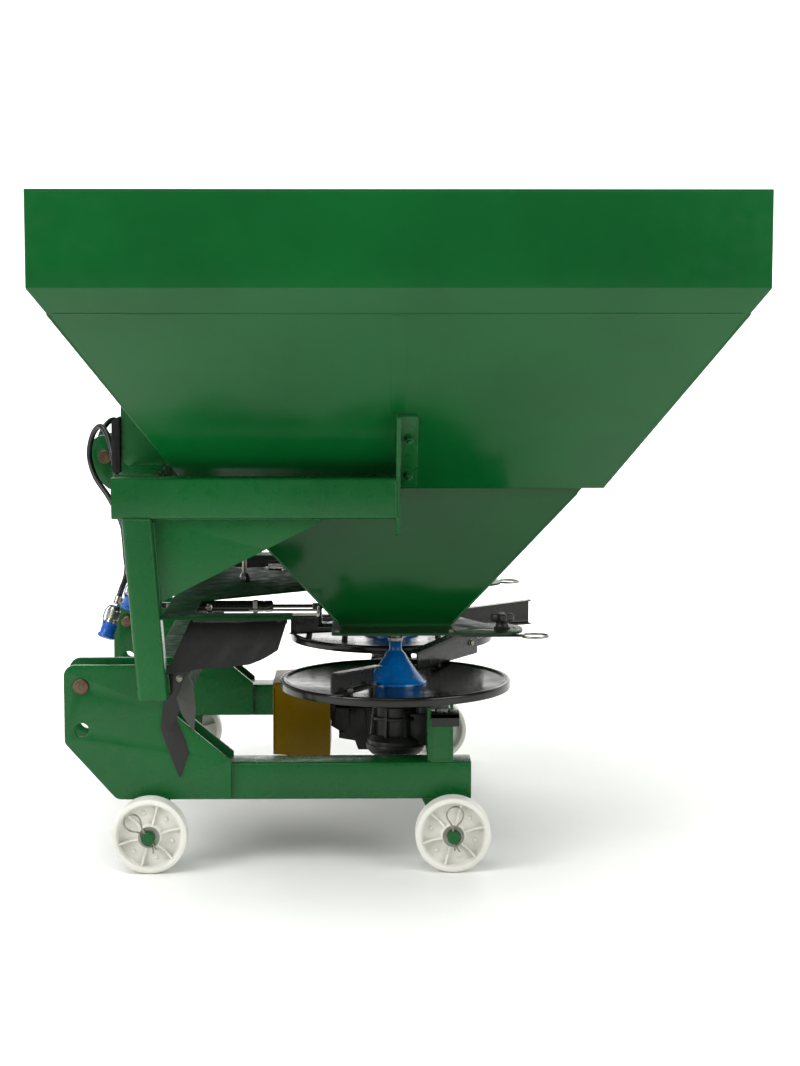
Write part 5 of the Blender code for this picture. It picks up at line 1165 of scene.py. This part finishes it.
def make_lower_frame(name, side):
    y = side * 0.440
    rail = piece(
        f"rail_tube_{name}",
        [tube((-0.540, y, 0.1705), (0.149, y, 0.1705), (0, 0.040, 0), (0, 0, 0.0375), corner=0.007)],
        "green_frame", "frame",
    )
    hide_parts(f"rail_{name}")
    seams = []
    for place, x, front in (("front", -0.489, 0.036), ("rear", 0.111, 0.062)):
        outline = rounded([(x - front, 0.136), (x - 0.0215, 0.0535), (x + 0.0215, 0.0535),
                           (x + 0.036, 0.136)], (0, 0.012, 0.012, 0))
        plate(f"axle_plate_{place}_{name}", [outline], 0.010, upright(side * 0.470), "green_frame")
        for depth in (0.464, 0.476):
            seams.append(((x - front + 0.004, side * depth, 0.1325), (x + 0.032, side * depth, 0.1325)))
        nut = bolt((x, side * 0.4570, 0.075), (0, -side, 0), 0.014, washer=True)
        piece(f"axle_nut_{place}_{name}", nut, "zinc", "frame")
    hitch = [(-0.660, 0.408), (-0.660, 0.251), (-0.558, 0.137), (-0.330, 0.137), (-0.330, 0.214),
             (-0.4426, 0.309), (-0.4426, 0.408)]
    outline = rounded(hitch, (0.022, 0.018, 0.020, 0, 0.004, 0.010, 0.012))
    holes = [circle(0.0142, (-0.626, 0.3656)), circle(0.0142, (-0.626, 0.2774))]
    for place, depth in (("outer", 0.4853), ("inner", 0.3947)):
        made = plate(f"hitch_cheek_{place}_{name}", [outline, *holes], 0.010, upright(side * depth),
                     "green_frame", edge=0.0013)
        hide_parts(f"hitch_plate_{place}_{name}")
    seams += [((-0.3290, side * 0.4815, 0.139), (-0.3290, side * 0.4815, 0.205)),
              ((-0.3290, side * 0.3985, 0.139), (-0.3290, side * 0.3985, 0.205)),
              ((0.067, side * 0.4770, 0.2090), (0.110, side * 0.4770, 0.2090))]
    beads(f"rail_welds_{name}", seams, radius=0.0026)
    end_corners = [(0.0695, 0.2115), (0.1105, 0.2115), (0.1105, 0.2925), (0.0695, 0.2925)]
    cap = plate(f"beam_end_{name}", [rounded(end_corners, (0.003,) * 4)], 0.0035,
                upright(side * 0.4765), "green_frame")
    inner, outer = sorted((side * 0.4380, side * 0.4800))
    face = side * 0.4772
    shoe = [block((0.0690, inner, 0.2961), (0.1255, outer, 0.3070)),
            block((0.0690, min(face, side * 0.4800), 0.2800), (0.1255, max(face, side * 0.4800), 0.3065))]
    piece(f"beam_shoe_{name}", shoe, "black", "frame", bevel=0.003)
    shoe_bolts = []
    for x in (0.084, 0.110):
        shoe_bolts += bolt((x, side * 0.458, 0.3071), Z, 0.007)
    piece(f"beam_shoe_bolts_{name}", shoe_bolts, "zinc", "frame")


def make_frame():
    beam = piece(
        "rear_beam_tube",
        [tube((0.0895, -0.4795, 0.2521), (0.0895, 0.4795, 0.2521), (0.0234, 0, 0),
              (0, 0, 0.0438), corner=0.006)],
        "green_frame", "frame",
    )
    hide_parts("rear_cross_beam")
    plate("rear_beam_plate",
          [rounded([(-0.476, 0.2085), (0.476, 0.2085), (0.476, 0.320), (-0.476, 0.320)], (0.004,) * 4)],
          0.006, crosswise(0.0650), "green_frame")
    front = piece(
        "front_cross_tube_body",
        [tube((-0.460, -0.3892, 0.355), (-0.460, 0.3892, 0.355), (0.040, 0, 0), (0, 0, 0.040), corner=0.007)],
        "green_inner_shade", "frame",
    )
    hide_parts("front_cross_tube")
    beads("front_tube_welds", [((-0.500, s * 0.3885, 0.3955), (-0.420, s * 0.3885, 0.3955)) for s in (-1, 1)]
          + [((-0.5005, s * 0.3885, 0.316), (-0.5005, s * 0.3885, 0.394)) for s in (-1, 1)])
    copy_node("guard_plate", "green_inner_shade", 0.0006)
    hanger = [turned([(0, 0.5228), (0.0052, 0.5228), (0.0052, 0.7540), (0, 0.7540)], (-0.327, 0, 0), Z, 24)]
    piece("hanger_rod", hanger, "steel", "frame")
    base = [turned([(0.0052, 0.5104), (0.0125, 0.5104), (0.0125, 0.5180), (0.0105, 0.5225),
                    (0.0080, 0.5290), (0.0052, 0.5290)],
                   (-0.327, 0, 0), Z, 6, closed=True)]
    piece("hanger_base", base, "black", "frame")
    piece("hanger_nut", nut_end((-0.327, 0, 0.5062), -Z, 0.008), "zinc", "frame")


# ---------------------------------------------------------------- drive


def make_drive():
    stations = [(-0.262, 0.0880), (-0.2590, 0.0890), (-0.219, 0.1000), (-0.1386, 0.1000)]
    points, faces = [], []
    for x, half in stations:
        line = [(-half, 0.142)]
        for cy, cz, begin in ((-half + 0.010, 0.289, 180), (half - 0.010, 0.289, 90)):
            for k in range(7):
                angle = math.radians(begin - 15 * k)
                line.append((cy + 0.010 * math.cos(angle), cz + 0.010 * math.sin(angle)))
        line.append((half, 0.142))
        inner = [(y * (1 - 0.003 / half) if abs(y) < half - 0.0001 else math.copysign(half - 0.003, y),
                  z if z < 0.150 else z - 0.003 * max(0.0, (z - 0.285) / 0.014)) for y, z in line]
        points += [(x, y, z) for y, z in line + inner[::-1]]
    count = len(points) // len(stations)
    for k in range(len(stations) - 1):
        for i in range(count):
            m = (i + 1) % count
            faces.append([k * count + i, k * count + m, (k + 1) * count + m, (k + 1) * count + i])
    half_count = count // 2
    for base in (0, (len(stations) - 1) * count):
        for i in range(half_count - 1):
            faces.append([base + i, base + i + 1, base + count - 2 - i, base + count - 1 - i])
    shield = piece("shield_sheet", [(points, faces)], "yellow", "frame", smooth=30)
    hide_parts("pto_shield")
    back = rounded([(-0.0965, 0.143), (0.0965, 0.143), (0.0965, 0.2955), (-0.0965, 0.2955)],
                   (0.002, 0.002, 0.008, 0.008))
    plate("shield_back", [back, circle(0.0205, (0, DRIVE_Z))], 0.003, crosswise(-0.1400), "yellow")
    parts = []
    for i in range(4):
        angle = math.radians(45 + 90 * i)
        parts += bolt((-0.1416, 0.036 * math.cos(angle), DRIVE_Z + 0.036 * math.sin(angle)), -X, 0.008)
    piece("shield_bolts", parts, "zinc", "frame")
    edge = [Vector((-0.2605, -0.0885, 0.143)), Vector((-0.2605, -0.0885, 0.286)),
            Vector((-0.2605, -0.0800, 0.2965)),
            Vector((-0.2605, 0.0800, 0.2965)), Vector((-0.2605, 0.0885, 0.286)),
            Vector((-0.2605, 0.0885, 0.143))]
    piece("shield_hem", [swept(edge, 0.0022, 8)], "yellow", "frame", smooth=60)
    copy_node("pto_shaft", "steel", 0.0004)
    copy_node("cross_shaft", "steel", 0.0004)
    copy_node("gearbox_centre", "cast", 0.0015)
    parts = []
    for side in (-1, 1):
        for i in range(6):
            angle = math.radians(30 + 60 * i)
            parts += bolt((0.0405 * math.cos(angle), side * 0.0550, DRIVE_Z + 0.0405 * math.sin(angle)),
                          (0, side, 0), 0.007)
        for x, z in ((-0.112, 0.178), (-0.090, 0.226), (-0.052, 0.155)):
            parts += bolt((x, side * 0.0450, z), (0, side, 0), 0.007)
    piece("centre_bolts", parts, "cast", "frame")
    ribs = []
    for side in (-1, 1):
        for x, foot in ((-0.128, 0.202), (-0.098, 0.188), (-0.062, 0.160)):
            low = (x - 0.002, min(side * 0.0448, side * 0.0500), foot)
            ribs.append(block(low, (x + 0.002, max(side * 0.0448, side * 0.0500), 0.232)))
    piece("centre_ribs", ribs, "cast", "frame", bevel=0.0008)


def make_side_gearbox(name, side):
    copy_node(f"gearbox_{name}", "cast", 0.0015)
    centre = Vector((0, side * DISC_Y, 0))
    parts, ribs = [], []
    for i in range(8):
        angle = math.radians(22.5 + 45 * i)
        way = Vector((math.cos(angle), math.sin(angle), 0))
        parts += bolt(centre + way * 0.0415 + Z * 0.3060, Z, 0.006)
        across = Vector((-way.y, way.x, 0)) * 0.0022
        corners = []
        for r, z in ((0.0440, 0.236), (0.0570, 0.236), (0.0500, 0.292), (0.0440, 0.292)):
            corners += [centre + way * r + Z * z + across, centre + way * r + Z * z - across]
        ribs.append((corners, [[0, 2, 4, 6], [1, 3, 5, 7], [0, 1, 3, 2], [2, 3, 5, 4],
                               [4, 5, 7, 6], [6, 7, 1, 0]]))
    piece(f"gearbox_ribs_{name}", ribs, "cast", "frame", bevel=0.0006)
    parts += bolt(centre + Z * 0.1951, -Z, 0.012)
    piece(f"gearbox_bolts_{name}", parts, "zinc", "frame")
    ring = [(0.0455, 0.2680), (0.0500, 0.2680), (0.0506, 0.2690), (0.0506, 0.2740),
            (0.0500, 0.2750), (0.0455, 0.2750)]
    belt = [(0.0580, 0.2060), (0.0600, 0.2065), (0.0605, 0.2080), (0.0605, 0.2150),
            (0.0600, 0.2165), (0.0580, 0.2170)]
    piece(f"gearbox_rings_{name}", [turned(ring, centre, Z, 56, closed=True),
                                    turned(belt, centre, Z, 56, closed=True)],
          "cast", "frame", smooth=45)


# ---------------------------------------------------------------- rubber


def make_curtain(name, side):
    """The rubber curtain: gently waved, with a cut corner at the rear."""
    low_edge = [(0.0, -0.4545, 0.3954), (0.30, -0.3901, 0.4052), (0.55, -0.3314, 0.4092),
                (0.72, -0.2904, 0.4151), (0.84, -0.2650, 0.4250), (0.92, -0.2494, 0.4328),
                (1.0, -0.2340, 0.4430)]
    columns, rows, skins = 44, 22, []
    for offset in (-0.0019, 0.0019):
        for j in range(rows + 1):
            down = j / rows
            for i in range(columns + 1):
                along = i / columns
                top = Vector((-0.4040 + 0.1900 * along, 0.5052))
                for a, b in zip(low_edge, low_edge[1:]):
                    if a[0] <= along <= b[0]:
                        t = (along - a[0]) / (b[0] - a[0])
                        foot = Vector((a[1] + (b[1] - a[1]) * t, a[2] + (b[2] - a[2]) * t))
                        break
                flat = top.lerp(foot, down ** 1.02)
                wave = 0.0035 * math.sin(along * 9.0 + 1.2) * down
                wave += 0.0016 * math.sin(along * 21.0 + down * 4.0) * down
                out = 0.4960 + 0.0285 * math.sin(down * math.pi / 2) + wave
                skins.append((flat.x, side * (out + offset), flat.y))
    width = columns + 1
    sheet = width * (rows + 1)
    faces = []
    for j in range(rows):
        for i in range(columns):
            a = j * width + i
            faces.append([a, a + 1, a + width + 1, a + width])
            faces.append([sheet + a, sheet + a + 1, sheet + a + width + 1, sheet + a + width])
    border = [i for i in range(width)] + [j * width + columns for j in range(1, rows + 1)]
    border += [rows * width + i for i in range(columns - 1, -1, -1)]
    border += [j * width for j in range(rows - 1, 0, -1)]
    for a, b in zip(border, border[1:] + border[:1]):
        faces.append([a, b, sheet + b, sheet + a])
    curtain = piece(f"curtain_{name}", [(skins, faces)], "rubber", "frame", smooth=60)
    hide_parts(f"flap_{name}")
    clamp = [block((-0.402, min(side * 0.4990, side * 0.5025), 0.4920),
                   (-0.216, max(side * 0.4990, side * 0.5025), 0.5048))]
    piece(f"curtain_clamp_{name}", clamp, "black", "frame", bevel=0.0008)
    parts = []
    for x in (-0.385, -0.309, -0.233):
        parts += bolt((x, side * 0.5026, 0.4985), (0, side, 0), 0.005)
    piece(f"curtain_bolts_{name}", parts, "black", "frame")


def make_strips(name, side):
    outline = [(-0.4545, 0.3974), (-0.4590, 0.3560), (-0.4685, 0.2792), (-0.4590, 0.2500),
               (-0.4321, 0.1790), (-0.4135, 0.2319), (-0.4230, 0.2640), (-0.4370, 0.2989),
               (-0.4200, 0.3500), (-0.4096, 0.3985)]
    strip = plate(f"strip_black_{name}",
                  [rounded(outline, (0.002, 0.02, 0.006, 0.02, 0.002, 0.004, 0.02, 0.008, 0.02, 0.002))],
                  0.0032, upright(side * 0.4922), "black", edge=0.0008)
    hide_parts(f"side_flap_{name}")
    front = [(-0.4155, 0.3985), (-0.4370, 0.3442), (-0.4270, 0.3100), (-0.4026, 0.2732),
             (-0.3979, 0.3245), (-0.4040, 0.3700)]
    plate(f"strip_grey_{name}", [rounded(front, (0.001, 0.006, 0.02, 0.002, 0.006, 0.02))],
          0.0022, upright(side * 0.4952),
          "strip", edge=0.0006)
    piece(f"strip_bolt_{name}", bolt((-0.4311, side * 0.4938, 0.3816), (0, side, 0), 0.006), "zinc", "frame")


for side_name, side_sign in SIDES.items():
    make_post(side_name, side_sign)
    make_upper_bar(side_name, side_sign)
    make_lower_frame(side_name, side_sign)
    make_side_gearbox(side_name, side_sign)
    make_curtain(side_name, side_sign)
    make_strips(side_name, side_sign)
make_cross_bar()
make_frame()
make_drive()

# ---------------------------------------------------------------- floor, light and finish


def make_studio():
    floor = bpy.data.meshes.new("floor")
    shape = bmesh.new()
    rows = []
    for y, z in [(-9.0, 0), (3.0, 0)] + [(3.0 + 2.2 * math.sin(a), 2.2 - 2.2 * math.cos(a)) for a in
                                        [math.radians(6 * k) for k in range(1, 16)]] + [(5.2, 9.0)]:
        rows.append([shape.verts.new((x, y, z)) for x in (-12, 12)])
    for a, b in zip(rows, rows[1:]):
        shape.faces.new((a[0], a[1], b[1], b[0]))
    shape.to_mesh(floor)
    shape.free()
    floor.shade_smooth()
    s = Shader("floor_paint", 0.5)
    s.colour(s.mix(s.ramp(s.noise(3, 3), (0.3, 0), (0.7, 1)), linear((236, 236, 233)),
                   linear((240, 240, 237))))
    split = s.tree.nodes.new("ShaderNodeSeparateXYZ")
    fade = s.tree.nodes.new("ShaderNodeMapRange")
    s.tree.links.new(s.place, split.inputs["Vector"])
    s.tree.links.new(split.outputs["Y"], fade.inputs["Value"])
    for socket, value in (("From Min", 0.9), ("From Max", 3.0), ("To Min", 0.0), ("To Max", 0.6)):
        fade.inputs[socket].default_value = value
    s.bsdf.inputs["Emission Color"].default_value = (1, 1, 1, 1)
    s.tree.links.new(fade.outputs["Result"], s.bsdf.inputs["Emission Strength"])
    floor.materials.append(s.material)
    ground = bpy.data.objects.new("floor", floor)
    bpy.context.scene.collection.objects.link(ground)
    world = bpy.data.worlds.new("world")
    world.use_nodes = True
    world.node_tree.nodes["Background"].inputs["Color"].default_value = (1.0, 1.0, 1.0, 1)
    world.node_tree.nodes["Background"].inputs["Strength"].default_value = 0.22
    bpy.context.scene.world = world
    for label, spot, target, size, power in (
        ("lamp_top", (-0.6, -0.6, 4.6), (0, 0, 0.6), 4.5, 300),
        ("lamp_left", (-4.2, -3.4, 2.6), (0, -0.2, 0.6), 3.0, 190),
        ("lamp_right", (4.0, -3.4, 2.2), (0, -0.2, 0.5), 3.0, 130),
        ("lamp_back", (0.5, 3.6, 3.6), (0, 0.2, 0.8), 3.0, 90),
    ):
        light = bpy.data.lights.new(label, "AREA")
        light.size = size
        light.energy = power
        lamp = bpy.data.objects.new(label, light)
        lamp.location = spot
        lamp.rotation_euler = (Vector(target) - Vector(spot)).to_track_quat("-Z", "Y").to_euler()
        bpy.context.scene.collection.objects.link(lamp)


make_studio()
